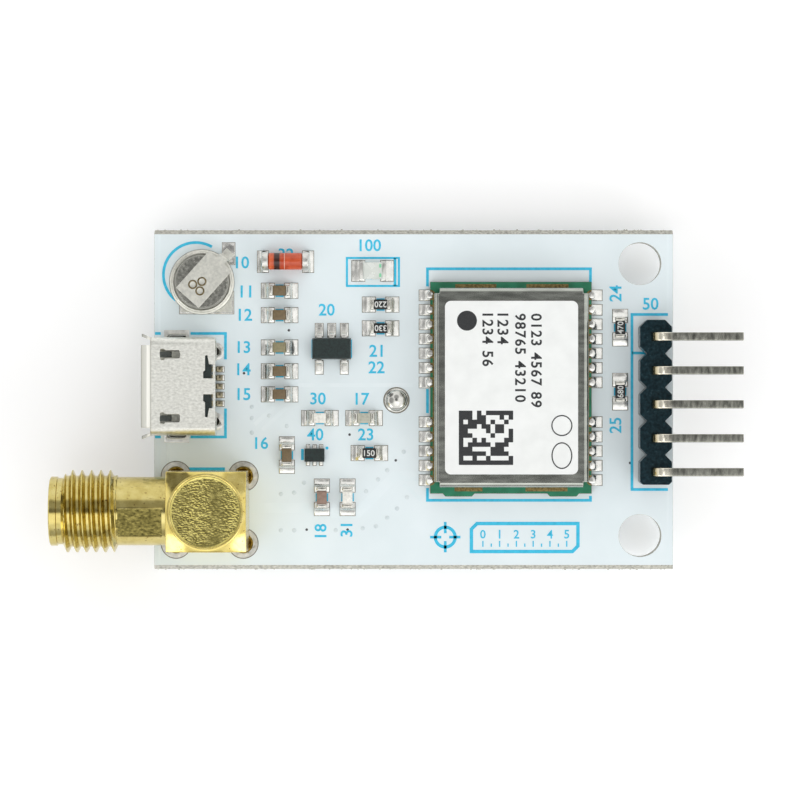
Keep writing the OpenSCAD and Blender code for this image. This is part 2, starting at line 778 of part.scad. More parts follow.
// Centre contact: a socket in line with the barrel and a pin down through the board
module jack_contact() {
    color([0.85, 0.7, 0.3]) translate([jack_x, jack_y, seat]) difference() {
        contact_rods();
        translate([socket_depth - jack_reach, 0, jack_axis]) rotate([0, -90, 0])
            cylinder(d = contact_d - 2 * socket_wall, h = socket_depth + eps);
    }
}

module contact_rods() {
    translate([contact_d / 2, 0, jack_axis]) rotate([0, -90, 0])
        cylinder(d = contact_d, h = contact_d / 2 + jack_reach);
    translate([0, 0, -seat - tail]) cylinder(d = jack_pin_d, h = seat + tail + jack_axis);
}

// Section of the USB shell: wide round shoulders above, bevelled below
module usb_section(inset) {
    w = usb_w - 2 * inset;
    h = usb_h - 2 * inset;
    r = usb_round - inset;
    b = usb_bevel - inset * (2 - sqrt(2));
    translate([0, inset]) {
        polygon([[b - w / 2, 0], [w / 2 - b, 0], [w / 2, b], [w / 2, h - r], [-w / 2, h - r], [-w / 2, b]]);
        translate([r - w / 2, h / 2]) square([w - 2 * r, h / 2]);
        for (s = [-1, 1]) translate([s * (w / 2 - r), h - r]) circle(r);
    }
}

// Flared lip in edge view, leaning away from the mouth
module lip_view(edge) {
    rim = edge + lip_spread;
    polygon([[0, edge - usb_t], [0, edge], [-lip_len, rim], [-lip_len, rim - usb_t]]);
}

// Latch slot from above: round at its far end, with a relief cut on each side of the finger's root
module latch_slot() {
    translate([root_l / 2, 0]) rounded(root_l, root_w, slot_round);
    translate([0, -slot_w / 2]) square([slot_l - slot_round, slot_w]);
    translate([slot_l / 2, 0]) rounded(slot_l, slot_w, slot_round);
}

// Clears the feet of the contacts under the rear of the socket
module foot_room() {
    translate([usb_l - foot_cut[0], -foot_cut[1] / 2, -eps]) cube([usb_l, foot_cut[1], 2 * usb_t]);
}

// Folded shell with flared mouth, latch slots, side tabs and rear pegs
module usb_shell() {
    stem = seat + pad_t + tab_drop;
    color([0.78, 0.79, 0.8]) translate([usb_x, usb_y, seat]) {
        difference() {
            rotate([90, 0, 90]) linear_extrude(usb_l) difference() {
                usb_section(0);
                usb_section(usb_t);
            }
            for (s = [-1, 1])
                translate([slot_at, s * slot_side, usb_h - usb_round]) linear_extrude(usb_h) latch_slot();
            for (s = [0, 1])
                mirror([0, s, 0]) translate([usb_l - rear_rim, 0, usb_h - 2 * usb_t]) linear_extrude(usb_h)
                    polygon(rear_pattern);
            foot_room();
        }
        upright(usb_w - 2 * usb_round) lip_view(usb_h);
        mirror([0, 0, 1]) upright(usb_w - 2 * usb_bevel) lip_view(0);
        for (s = [0, 1])
            mirror([0, s, 0]) {
                translate([0, 0, usb_bevel]) linear_extrude(usb_h - usb_bevel - usb_round) lip_view(usb_w / 2);
                translate([slot_at, slot_side, 0]) upright(finger_w)
                    polygon([[0, usb_h - usb_t], [0, usb_h], [finger_l, usb_h - finger_dip],
                             [finger_l, usb_h - finger_dip - usb_t]]);
                translate([tab_at - tab_wide / 2, usb_w / 2 - usb_t, -stem])
                    cube([tab_wide, usb_t, stem + usb_bevel + usb_t]);
                translate([usb_l - usb_t, peg_side - peg_wide / 2, -stem])
                    cube([usb_t, peg_wide, stem + usb_t]);
            }
    }
}

// Black moulding with the tongue that carries the contacts
module usb_insulator() {
    color([0.1, 0.1, 0.1]) translate([usb_x, usb_y, seat]) difference() {
        union() {
            translate([block_at, 0, 0]) rotate([90, 0, 90]) linear_extrude(block_end - block_at)
                usb_section(usb_t);
            translate([tongue_at, -tongue_w / 2, tongue_z]) cube([block_at, tongue_w, tongue_t]);
        }
        contact_row();
        foot_room();
    }
}

// Five bent contacts: along the tongue, through the block and down to the board
module contact_row() {
    run = block_end - tongue_at - contact_inset;
    drop = tongue_z - 2 * usb_bend;
    for (i = [-2:2])
        translate([tongue_at + contact_inset, i * usb_pitch, tongue_z + usb_contact_t / 2])
            upright(usb_contact_w) bent_strip([[run, -90], [drop, 90], [foot_len, 0]], usb_contact_t, usb_bend);
}

module usb_contacts() {
    color([0.85, 0.72, 0.4]) translate([usb_x, usb_y, seat]) contact_row();
}

// Plastic strip of bevelled segments, with a hole for each pin
module header_body() {
    w = header_w / 2;
    p = pin_pitch / 2;
    b = header_bevel;
    color([0.09, 0.09, 0.1]) difference() {
        translate([0, 0, board_t]) linear_extrude(header_h) for (at = pin_places)
            translate(at)
                polygon([[b - w, -p], [w - b, -p], [w, b - p], [w, p - b], [w - b, p], [b - w, p],
                         [-w, p - b], [-w, b - p]]);
        for (at = pin_places)
            translate([at[0] - pin_w / 2, at[1] - pin_w / 2, 0]) cube([pin_w, pin_w, 2 * header_h + board_t]);
        translate([header_x - header_w, header_pin_y(pin_count) - 2 * p + header_short, board_t - eps])
            cube([2 * header_w, p, 2 * header_h]);
    }
}

// Square pin, bent over above the plastic
module header_pin(i) {
    rise = tail + board_t + header_h + pin_rise - pin_bend;
    color([0.8, 0.8, 0.78]) translate([header_x, header_pin_y(i), -tail]) upright(pin_w)
        rotate(90) bent_strip([[rise, -90], [pin_out - pin_bend, 0]], pin_w, pin_bend);
}

// Deep drawn cup with a rolled shoulder
module battery_can() {
    shoulder = cell_shoulder;
    color([0.7, 0.71, 0.72]) translate([cell_x, cell_y, cell_foot_z]) rotate_extrude() difference() {
        union() {
            square([cell_d / 2, cell_h - shoulder]);
            square([cell_d / 2 - shoulder, cell_h - tab_t]);
            translate([cell_d / 2 - shoulder, cell_h - shoulder - tab_t]) circle(shoulder);
        }
        translate([0, cell_wall]) square([cell_d / 2 - cell_wall, cell_h]);
        translate([-cell_d, -eps]) square([cell_d, cell_h]);
    }
}

module battery_gasket() {
    color([0.2, 0.2, 0.22]) translate([cell_x, cell_y, cell_foot_z + cell_wall])
        ring(lid_r + gasket_t, lid_r, cell_h - cell_wall - tab_t);
}

module battery_lid() {
    color([0.66, 0.67, 0.68]) translate([cell_x, cell_y, cell_foot_z + cell_wall])
        cylinder(r = lid_r, h = cell_h - cell_wall);
}

// Upper tab welded on the lid, its leg bent down to the board
module battery_top_tab() {
    far = tab_shift + tab_l / 2;
    run = tab_leg_at - tab_bend - far + tab_t;
    drop = cell_h + tab_t - 2 * tab_bend;
    color([0.76, 0.77, 0.77]) translate([cell_x, cell_y, 0]) rotate(tab_turn) {
        difference() {
            translate([tab_shift - tab_l / 2, -tab_w / 2, cell_top_z]) cube([tab_l, tab_w, tab_t]);
            translate([tab_shift - weld_back, 0, cell_top_z + tab_t - weld_dip]) for (a = [0, 120, 240])
                rotate(a) translate([weld_ring, 0, 0]) cylinder(r = weld_r, h = tab_t);
        }
        translate([far - tab_t, 0, cell_top_z + tab_t / 2]) upright(tab_leg_w)
            bent_strip([[run, -90], [drop, 90], [tab_foot, 0]], tab_t, tab_bend);
    }
}

module battery_bottom_tab() {
    color([0.76, 0.77, 0.77]) translate([cell_x - low_pad_at + low_pad_rim, low_pad_y + low_pad_rim, seat])
        cube([low_pad[0] - 2 * low_pad_rim, cell_d / 2, tab_t]);
}

// Glass tube of the diode
module diode_glass() {
    inner = diode_l - 2 * diode_cap;
    color([0.85, 0.45, 0.2]) along_diode() translate([0, 0, -inner / 2]) ring(glass_d / 2, slug_d / 2, inner);
}

module along_diode() {
    translate(concat(spot(diode_at), diode_z)) rotate([0, 90, 0]) children();
}

module diode_ends() {
    color("silver") along_diode() for (s = [0, 1])
        mirror([0, 0, s]) translate([0, 0, diode_l / 2 - diode_cap]) cylinder(d = diode_d, h = diode_cap);
}

module diode_slugs() {
    slug = diode_l / 2 - diode_cap - die_t / 2;
    color([0.75, 0.35, 0.15]) along_diode() for (s = [0, 1])
        mirror([0, 0, s]) translate([0, 0, die_t / 2]) cylinder(d = slug_d, h = slug);
}

module diode_die() {
    color("lightgray") along_diode() cube([slug_d / 2, slug_d / 2, die_t], center = true);
}

// Lamp: white base between two plated ends, with a clear block cast over a small die
module lamp_base() {
    color([0.9, 0.9, 0.86]) translate(concat(spot(lamp_at), seat))
        translate([lamp_end - lamp_l / 2, -lamp_w / 2, 0]) cube([lamp_l - 2 * lamp_end, lamp_w, lamp_base_h]);
}

module lamp_terminals() {
    color([0.82, 0.8, 0.72]) translate(concat(spot(lamp_at), seat)) for (s = [0, 1])
        mirror([s, 0, 0]) translate([lamp_l / 2 - lamp_end, -lamp_w / 2, 0])
            cube([lamp_end, lamp_w, lamp_base_h]);
}

module lamp_lens() {
    foot = lamp_l / 2 - lens_inset;
    head = foot - lens_draft;
    top = lamp_h - lamp_base_h;
    color([0.9, 0.93, 0.88]) translate(concat(spot(lamp_at), seat + lamp_base_h)) difference() {
        upright(lamp_w) polygon([[-foot, 0], [foot, 0], [head, top], [-head, top]]);
        translate([0, 0, lamp_die[2] / 2]) cube(lamp_die, center = true);
    }
}

module lamp_die() {
    color([0.5, 0.7, 0.4]) translate(concat(spot(lamp_at), seat + lamp_base_h + lamp_die[2] / 2))
        cube(lamp_die, center = true);
}

// Moulded body, drafted up and down from its parting line
module drafted_view(w, h) {
    polygon([[reg_draft - w / 2, 0], [w / 2 - reg_draft, 0], [w / 2, h / 2], [w / 2 - reg_draft, h],
             [reg_draft - w / 2, h], [-w / 2, h / 2]]);
}

module regulator_body() {
    body_h = reg_h - reg_stand;
    color([0.13, 0.13, 0.14]) translate(concat(spot(regulator_at), seat + reg_stand)) intersection() {
        upright(reg_w) drafted_view(reg_l, body_h);
        rotate(90) upright(reg_l) drafted_view(reg_w, body_h);
    }
}

// Bent leads, three on one side and two on the other
module regulator_leads() {
    exit_z = reg_stand + (reg_h - reg_stand) / 2;
    fall = exit_z - reg_lead_t / 2 - 2 * reg_bend * (1 - cos(reg_lead_turn));
    slope = fall / sin(reg_lead_turn);
    steps = [[reg_lead_out, -reg_lead_turn], [slope, reg_lead_turn], [reg_foot, 0]];
    color("silver") translate(concat(spot(regulator_at), seat)) for (p = reg_lead_places)
        translate([p[0] * reg_pitch, p[1] * reg_w / 2, exit_z]) rotate(p[1] * 90) upright(reg_lead_w)
            bent_strip(steps, reg_lead_t, reg_bend);
}

module amplifier_body() {
    color([0.14, 0.14, 0.15]) translate(concat(spot(amplifier_at), seat)) difference() {
        translate([-amp_l / 2, -amp_w / 2, 0]) cube([amp_l, amp_w, amp_h]);
        amp_lead_row();
    }
}

module amplifier_leads() {
    color("silver") translate(concat(spot(amplifier_at), seat)) amp_lead_row();
}

module amp_lead_row() {
    for (p = amp_lead_places)
        translate([p[0], p[1] * (amp_w + amp_lead_out - amp_lead_in) / 2, amp_lead_t / 2])
            cube([amp_lead_w, amp_lead_in + amp_lead_out, amp_lead_t], center = true);
}

// Body of a chip part, a little slimmer than its end caps
module chip_body(place, h) {
    translate([place[0], place[1], seat]) rotate(place[2])
        translate([chip_cap - chip_l / 2, chip_slim - chip_w / 2, chip_slim])
            cube([chip_l - 2 * chip_cap, chip_w - 2 * chip_slim, h - 2 * chip_slim]);
}

module capacitor(i) {
    at = capacitors[i - 1];
    color([0.55, 0.43, 0.32]) chip_body(concat(spot(at), at[2]), chip_h);
}

module inductor(i) {
    at = inductors[i - 1];
    color([0.93, 0.93, 0.9]) chip_body(concat(spot(at), at[2]), chip_h);
}

module resistor(i) {
    color([0.15, 0.15, 0.16]) chip_body(resistors[i - 1], resistor_h);
}

module chip_end_caps() {
    color("silver") for (c = chips)
        translate([c[0], c[1], seat]) rotate(c[2]) for (s = [0, 180])
            rotate(s) translate([chip_l / 2 - chip_cap, -chip_w / 2, 0]) cube([chip_cap, chip_w, c[3]]);
}

main_board();
hole_rings();
pin_solder();
surface_solder();
test_point();
receiver_board();
receiver_solder();
receiver_chip();
saw_filter();
clock_crystal();
receiver_passives();
shield_can();
receiver_label();
jack_block();
jack_barrel();
jack_cap();
jack_insulator();
jack_contact();
usb_shell();
usb_insulator();
usb_contacts();
header_body();
for (i = [1:pin_count]) header_pin(i);
battery_can();
battery_lid();
battery_gasket();
battery_top_tab();
battery_bottom_tab();
diode_glass();
diode_ends();
diode_slugs();
diode_die();
lamp_base();
lamp_lens();
lamp_die();
lamp_terminals();
regulator_body();
regulator_leads();
amplifier_body();
amplifier_leads();
for (i = [1:len(capacitors)]) capacitor(i);
for (i = [1:len(inductors)]) inductor(i);
for (i = [1:len(resistors)]) resistor(i);
chip_end_caps();
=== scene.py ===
import math
import random

import bmesh
import bpy
from mathutils import Matrix, Vector, noise


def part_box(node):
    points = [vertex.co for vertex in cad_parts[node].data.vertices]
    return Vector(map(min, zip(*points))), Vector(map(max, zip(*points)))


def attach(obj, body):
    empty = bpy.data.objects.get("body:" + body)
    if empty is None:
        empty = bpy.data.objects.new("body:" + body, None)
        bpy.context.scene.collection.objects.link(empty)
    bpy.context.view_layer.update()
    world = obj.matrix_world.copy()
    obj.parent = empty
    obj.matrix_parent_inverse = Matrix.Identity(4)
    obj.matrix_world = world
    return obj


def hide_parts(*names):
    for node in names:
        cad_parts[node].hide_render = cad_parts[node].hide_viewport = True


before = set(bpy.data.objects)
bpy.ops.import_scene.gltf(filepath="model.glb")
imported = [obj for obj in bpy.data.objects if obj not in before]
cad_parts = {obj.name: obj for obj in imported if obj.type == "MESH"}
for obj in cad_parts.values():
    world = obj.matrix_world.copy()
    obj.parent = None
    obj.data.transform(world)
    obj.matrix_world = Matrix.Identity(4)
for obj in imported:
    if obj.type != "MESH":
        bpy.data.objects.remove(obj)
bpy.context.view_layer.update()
scene = bpy.context.scene


# Main board: a sheet of woven glass and resin under white lacquer, drilled and plated.
# Its two long edges were scored and snapped out of a panel, so they show bare grey fibre.
MM = 0.001
BOARD_LEFT, BOARD_RIGHT = -36.8, 2.5
BOARD_HALF_WIDTH = 12.85
BOARD_TOP = 1.6


def srgb(red, green, blue):
    """Linear colour of a tone given as the eye sees it, 0 to 255."""
    shares = (red / 255, green / 255, blue / 255)
    return tuple(c / 12.92 if c < 0.04045 else ((c + 0.055) / 1.055) ** 2.4 for c in shares)


def wire(links, *joins):
    """Links nodes: each join has a node and its output, then a node and its input."""
    for source, out, target, into in joins:
        links.new(source.outputs[out], target.inputs[into])


def lay_tones(ramp, tones, spread=(0.3, 0.7)):
    """Sets tones out evenly on a colour ramp, over that spread of it."""
    stops = ramp.color_ramp.elements
    while len(stops) < len(tones):
        stops.new(0.5)
    for i, tone in enumerate(tones):
        stops[i].position = spread[0] + (spread[1] - spread[0]) * i / (len(tones) - 1)
        stops[i].color = (*srgb(*tone), 1)


def drifting(name, tones, grain, rough, metallic=0.0, bump=0.0, stretch=(1, 1, 1), detail=4.0,
             spread=(0.3, 0.7)):
    """A finish whose tone, gloss and height drift with one noise; grain is in patches per millimetre."""
    finish = bpy.data.materials.new(name)
    finish.use_nodes = True
    nodes, links = finish.node_tree.nodes, finish.node_tree.links
    shader = nodes["Principled BSDF"]
    shader.inputs["Metallic"].default_value = metallic
    place = nodes.new("ShaderNodeTexCoord")
    scale = nodes.new("ShaderNodeMapping")
    scale.inputs["Scale"].default_value = stretch
    patches = nodes.new("ShaderNodeTexNoise")
    patches.inputs["Scale"].default_value = grain / MM
    patches.inputs["Detail"].default_value = detail
    ramp = nodes.new("ShaderNodeValToRGB")
    lay_tones(ramp, tones, spread)
    gloss = nodes.new("ShaderNodeMapRange")
    gloss.inputs["From Min"].default_value = 0.3
    gloss.inputs["From Max"].default_value = 0.7
    gloss.inputs["To Min"].default_value, gloss.inputs["To Max"].default_value = rough
    wire(links, (place, "Object", scale, "Vector"), (scale, "Vector", patches, "Vector"),
         (patches, "Fac", ramp, "Fac"), (patches, "Fac", gloss, "Value"),
         (ramp, "Color", shader, "Base Color"), (gloss, "Result", shader, "Roughness"))
    if bump:
        relief = nodes.new("ShaderNodeBump")
        relief.inputs["Distance"].default_value = bump * MM
        wire(links, (patches, "Fac", relief, "Height"), (relief, "Normal", shader, "Normal"))
    return finish


def speckled(finish, tone, grain, above):
    """Scatters small spots of another tone over a finish, where a fine noise rises above that value."""
    nodes, links = finish.node_tree.nodes, finish.node_tree.links
    base = nodes["Principled BSDF"].inputs["Base Color"]
    under = base.links[0].from_socket
    spots = nodes.new("ShaderNodeTexNoise")
    spots.inputs["Scale"].default_value = grain / MM
    spots.inputs["Detail"].default_value = 1
    rare = nodes.new("ShaderNodeMapRange")
    rare.inputs["From Min"].default_value = above
    rare.inputs["From Max"].default_value = above + 0.05
    mixed = nodes.new("ShaderNodeMix")
    mixed.data_type = "RGBA"
    mixed.inputs["B"].default_value = (*srgb(*tone), 1)
    wire(links, (nodes["Texture Coordinate"], "Object", spots, "Vector"), (spots, "Fac", rare, "Value"),
         (rare, "Result", mixed, "Factor"))
    links.new(under, mixed.inputs["A"])
    links.new(mixed.outputs["Result"], base)
    return finish


def banded(finish, axis, stops):
    """Lays tones over a finish along an axis: each stop has a place in millimetres, a tone and its cover."""
    nodes, links = finish.node_tree.nodes, finish.node_tree.links
    base = nodes["Principled BSDF"].inputs["Base Color"]
    under = base.links[0].from_socket
    start, end = stops[0][0], stops[-1][0]
    apart = nodes.new("ShaderNodeSeparateXYZ")
    along = nodes.new("ShaderNodeMapRange")
    along.inputs["From Min"].default_value = start * MM
    along.inputs["From Max"].default_value = end * MM
    tones = nodes.new("ShaderNodeValToRGB")
    ramp = tones.color_ramp.elements
    for at, tone, cover in stops[1:-1]:
        ramp.new((at - start) / (end - start)).color = (*srgb(*tone), cover)
    for i in (0, -1):
        ramp[i].color = (*srgb(*stops[i][1]), stops[i][2])
    mixed = nodes.new("ShaderNodeMix")
    mixed.data_type = "RGBA"
    wire(links, (nodes["Texture Coordinate"], "Object", apart, "Vector"), (apart, axis, along, "Value"),
         (along, "Result", tones, "Fac"), (tones, "Alpha", mixed, "Factor"), (tones, "Color", mixed, "B"))
    links.new(under, mixed.inputs["A"])
    links.new(mixed.outputs["Result"], base)
    return finish


def piece_of(name, bm, finish, slot, *nodes, smooth=True):
    """Turns a bmesh in millimetres into a piece that rides on the board and stands for CAD nodes."""
    if not smooth:
        bmesh.ops.recalc_face_normals(bm, faces=bm.faces)
    bm.transform(Matrix.Scale(MM, 4))
    for face in bm.faces:
        face.smooth = smooth
    mesh = bpy.data.meshes.new(name)
    bm.to_mesh(mesh)
    bm.free()
    mesh.materials.append(finish)
    piece = bpy.data.objects.new(name, mesh)
    scene.collection.objects.link(piece)
    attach(piece, "root")
    if nodes:
        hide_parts(*nodes)
    return piece


def solid_of(node):
    """A merged copy of a CAD node's mesh in millimetres, its flat faces joined up."""
    bm = bmesh.new()
    bm.from_mesh(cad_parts[node].data)
    bm.transform(Matrix.Scale(1 / MM, 4))
    bmesh.ops.remove_doubles(bm, verts=bm.verts, dist=0.0005)
    bmesh.ops.dissolve_limit(bm, angle_limit=math.radians(0.5), verts=bm.verts, edges=bm.edges)
    return bm


def eased(node, finish, slot, edge=0.03, steps=2, sharp=28):
    """The CAD node with its sharp edges eased, as pressing, moulding or plating leaves them."""
    bm = solid_of(node)
    corners = [e for e in bm.edges if e.is_manifold and e.calc_face_angle() > math.radians(sharp)]
    bmesh.ops.bevel(bm, geom=corners, offset=edge, offset_type="OFFSET", segments=steps, profile=0.5,
                    affect="EDGES", clamp_overlap=False)
    piece = piece_of(node.replace("_", "-"), bm, finish, slot, node)
    even = piece.modifiers.new("Even shading", "WEIGHTED_NORMAL")
    even.keep_sharp = True
    return piece


def lacquered(name, tones, grain, rough, fibre):
    """Lacquer on the level faces of a board and bare woven fibre on its cut ones."""
    finish = drifting(name, tones, grain, rough)
    nodes, links = finish.node_tree.nodes, finish.node_tree.links
    facing = nodes.new("ShaderNodeNewGeometry")
    upward = nodes.new("ShaderNodeSeparateXYZ")
    level = nodes.new("ShaderNodeMath")
    level.operation = "ABSOLUTE"
    covered = nodes.new("ShaderNodeMath")
    covered.operation = "GREATER_THAN"
    covered.inputs[1].default_value = 0.93
    weave = nodes.new("ShaderNodeTexNoise")
    weave.inputs["Scale"].default_value = 5 / MM
    weave.inputs["Detail"].default_value = 6
    yarn = nodes.new("ShaderNodeValToRGB")
    lay_tones(yarn, fibre)
    sides = nodes.new("ShaderNodeMix")
    sides.data_type = "RGBA"
    wire(links, (facing, "True Normal", upward, "Vector"), (upward, "Z", level, 0),
         (level, "Value", covered, 0), (nodes["Texture Coordinate"], "Object", weave, "Vector"),
         (weave, "Fac", yarn, "Fac"), (covered, "Value", sides, "Factor"), (yarn, "Color", sides, "A"),
         (nodes["Color Ramp"], "Color", sides, "B"),
         (sides, "Result", nodes["Principled BSDF"], "Base Color"))
    return finish


lacquer = lacquered("white lacquer", [(229, 240, 243), (235, 245, 248)], 0.25, (0.34, 0.42),
                    [(128, 127, 116), (206, 204, 192)])
eased("main_board", lacquer, "white_board", edge=0.02, steps=1)


# Torn fibre on the scored edges: ends of glass yarn and crumbs of resin left by the snapping.
# A row of small splinters follows each edge, each turned and sized by chance.
SPLINTERS = 260
FIBRE_INSET, FIBRE_END, FIBRE_MID = 0.06, 0.1, 0.8
SPLINTER = Vector((0.16, 0.1, 0.12)) * MM


def new_tree(name):
    """A node tree that takes a geometry and gives one back."""
    tree = bpy.data.node_groups.new(name, "GeometryNodeTree")
    for way in ("OUTPUT", "INPUT"):
        tree.interface.new_socket("Geometry", in_out=way, socket_type="NodeSocketGeometry")
    return tree


def tree_input(tree, name, kind, value):
    """Adds a named input to a node tree and returns the identifier that a modifier sets it by."""
    socket = tree.interface.new_socket(name, in_out="INPUT", socket_type=kind)
    socket.default_value = value
    return socket.identifier


def grown(name, tree, inputs, finish, bm=None):
    """Runs a node tree on a mesh in millimetres and keeps the result as a plain piece."""
    bm = bm or bmesh.new()
    bm.transform(Matrix.Scale(MM, 4))
    seed_mesh = bpy.data.meshes.new(name + " seed")
    bm.to_mesh(seed_mesh)
    bm.free()
    seed = bpy.data.objects.new(name + " seed", seed_mesh)
    scene.collection.objects.link(seed)
    grow = seed.modifiers.new("Grow", "NODES")
    grow.node_group = tree
    for identifier, value in inputs.items():
        grow[identifier] = value
    mesh = bpy.data.meshes.new_from_object(seed.evaluated_get(bpy.context.evaluated_depsgraph_get()))
    seed.modifiers.remove(grow)
    bpy.data.objects.remove(seed)
    mesh.name = name
    if finish.name not in mesh.materials:
        mesh.materials.clear()
        mesh.materials.append(finish)
    piece = bpy.data.objects.new(name, mesh)
    scene.collection.objects.link(piece)
    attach(piece, "root")
    return piece


fibre = drifting("torn glass fibre", [(140, 139, 128), (214, 213, 203)], 6, (0.6, 0.85), bump=0.02)
splinter_tree = new_tree("Splinters along an edge")
count_id = tree_input(splinter_tree, "Count", "NodeSocketInt", 100)
size_id = tree_input(splinter_tree, "Splinter size", "NodeSocketVector", (0, 0, 0))
seed_id = tree_input(splinter_tree, "Seed", "NodeSocketInt", 0)
steps = splinter_tree.nodes
given = steps.new("NodeGroupInput")
edge_path = steps.new("GeometryNodeMeshToCurve")
spaced = steps.new("GeometryNodeResampleCurve")
crumb = steps.new("GeometryNodeMeshIcoSphere")
crumb.inputs["Radius"].default_value = 1
crumb.inputs["Subdivisions"].default_value = 1
sown = steps.new("GeometryNodeInstanceOnPoints")
turned_by = steps.new("FunctionNodeRandomValue")
turned_by.data_type = "FLOAT_VECTOR"
turned_by.inputs["Max"].default_value = (math.tau, math.tau, math.tau)
shrunk_by = steps.new("FunctionNodeRandomValue")
shrunk_by.inputs[2].default_value, shrunk_by.inputs[3].default_value = 0.35, 1.0
sized = steps.new("ShaderNodeVectorMath")
sized.operation = "SCALE"
shifted_by = steps.new("FunctionNodeRandomValue")
shifted_by.data_type = "FLOAT_VECTOR"
shifted_by.inputs["Min"].default_value = (-0.1 * MM, -0.05 * MM, -0.3 * MM)
shifted_by.inputs["Max"].default_value = (0.1 * MM, 0.05 * MM, 0.3 * MM)
shifted = steps.new("GeometryNodeSetPosition")
real = steps.new("GeometryNodeRealizeInstances")
dressed = steps.new("GeometryNodeSetMaterial")
dressed.inputs["Material"].default_value = fibre
result = steps.new("NodeGroupOutput")
wire(splinter_tree.links, (given, "Geometry", edge_path, "Mesh"), (edge_path, "Curve", spaced, "Curve"),
     (given, "Count", spaced, "Count"), (spaced, "Curve", shifted, "Geometry"),
     (shifted_by, "Value", shifted, "Offset"), (shifted, "Geometry", sown, "Points"),
     (crumb, "Mesh", sown, "Instance"), (turned_by, "Value", sown, "Rotation"),
     (given, "Splinter size", sized, 0), (shrunk_by, 1, sized, "Scale"), (sized, "Vector", sown, "Scale"),
     (given, "Seed", turned_by, "Seed"), (given, "Seed", shrunk_by, "Seed"),
     (given, "Seed", shifted_by, "Seed"), (sown, "Instances", real, "Geometry"),
     (real, "Geometry", dressed, "Geometry"), (dressed, "Geometry", result, "Geometry"))
for number, side in enumerate((1, -1)):
    edge = bmesh.new()
    ends = [edge.verts.new((x, side * (BOARD_HALF_WIDTH - FIBRE_INSET), FIBRE_MID))
            for x in (BOARD_LEFT + FIBRE_END, BOARD_RIGHT - FIBRE_END)]
    edge.edges.new(ends)
    values = {count_id: SPLINTERS, size_id: SPLINTER, seed_id: 7 + number}
    grown("torn-edge-%d" % (number + 1), splinter_tree, values, fibre, edge)


# Tracks: copper under the lacquer, seen only as low raised paths of a slightly paler tone. A wide one runs
# from the antenna jack to the receiver, and the copper sheet stops short of the board's edge.
TRACK_TOP = BOARD_TOP + 0.008
AERIAL_WIDTH, SIGNAL_WIDTH, SHEET_INSET, SHEET_LINE = 0.75, 0.3, 0.4, 0.16


def ribbon(bm, points, width, low, high, closed=False):
    """Lays a flat bar of that width along the points, from height low to high."""
    points = [Vector(p) for p in points]
    last = len(points) - 1
    left, right = [], []
    for i, here in enumerate(points):
        came = (here - points[i - 1]).normalized() if i or closed else None
        goes = (points[(i + 1) % len(points)] - here).normalized() if i < last or closed else came
        came = came or goes
        along = (came + goes).normalized()
        across = Vector((-along.y, along.x))
        reach = width / 2 / max(0.35, across.dot(Vector((-goes.y, goes.x))))
        left.append(here + across * reach)
        right.append(here - across * reach)
    rails = [[bm.verts.new((p.x, p.y, z)) for p in side]
             for side, z in ((left, low), (left, high), (right, high), (right, low))]
    for i in range(len(points) if closed else last):
        k = (i + 1) % len(points)
        for a, b in zip(rails, rails[1:] + rails[:1]):
            bm.faces.new((a[i], a[k], b[k], b[i]))
    if not closed:
        for i in (0, last):
            bm.faces.new([rail[i] for rail in rails])


raised = drifting("lacquer over copper", [(230, 242, 245), (238, 247, 250)], 0.4, (0.3, 0.4))
tracks = bmesh.new()
for path in ([(-29.6, -8.2), (-24.9, -8.2)], [(-23.4, -8.6), (-21.4, -8.6), (-18.6, -5.8), (-16.6, -5.8)]):
    ribbon(tracks, path, AERIAL_WIDTH, BOARD_TOP, TRACK_TOP)
for path in ([(-29.2, -1.9), (-27.7, -0.5)], [(-28.6, -2.3), (-26.8, -0.6)], [(-25.9, 1.1), (-17.2, 1.1)],
             [(-17.9, -6.4), (-16.6, -7.6)], [(-2.6, 3.4), (-2.6, 2.2)]):
    ribbon(tracks, path, SIGNAL_WIDTH, BOARD_TOP, TRACK_TOP)
for x in (BOARD_LEFT + SHEET_INSET, BOARD_RIGHT - SHEET_INSET):
    reach = BOARD_HALF_WIDTH - SHEET_INSET
    ribbon(tracks, [(x, -reach), (x, reach)], SHEET_LINE, BOARD_TOP, TRACK_TOP)
piece_of("tracks", tracks, raised, "white_board", smooth=False)


# Blue print on the lacquer: outlines round the parts, plain numbers beside them and a scale in a frame.
# Screen printed ink, a few hundredths of a millimetre thick, so it has its own low edge.
INK_TOP = BOARD_TOP + 0.012
INK_WIDTH = 0.21
NUMBER_HEIGHT = 0.92
CHIP_PRINT_HALF = (0.3, 0.47)
SCALE_START, SCALE_STEP, SCALE_FOOT, TICK_HALF = -11.9, 0.635, -11.15, 0.05


def slab(bm, outline, low, high):
    """A flat plate with that outline."""
    foot = [bm.verts.new((x, y, low)) for x, y in outline]
    head = [bm.verts.new((x, y, high)) for x, y in outline]
    bm.faces.new(foot)
    bm.faces.new(head)
    for i in range(len(foot)):
        k = (i + 1) % len(foot)
        bm.faces.new((foot[i], foot[k], head[k], head[i]))


def bar(bm, left, low_y, right, high_y, low, high):
    slab(bm, [(left, low_y), (right, low_y), (right, high_y), (left, high_y)], low, high)


def arc(centre, radius, start, end, steps):
    """Points on an arc, with its angles in degrees."""
    turns = [math.radians(start + (end - start) * i / steps) for i in range(steps + 1)]
    return [(centre[0] + radius * math.cos(a), centre[1] + radius * math.sin(a)) for a in turns]


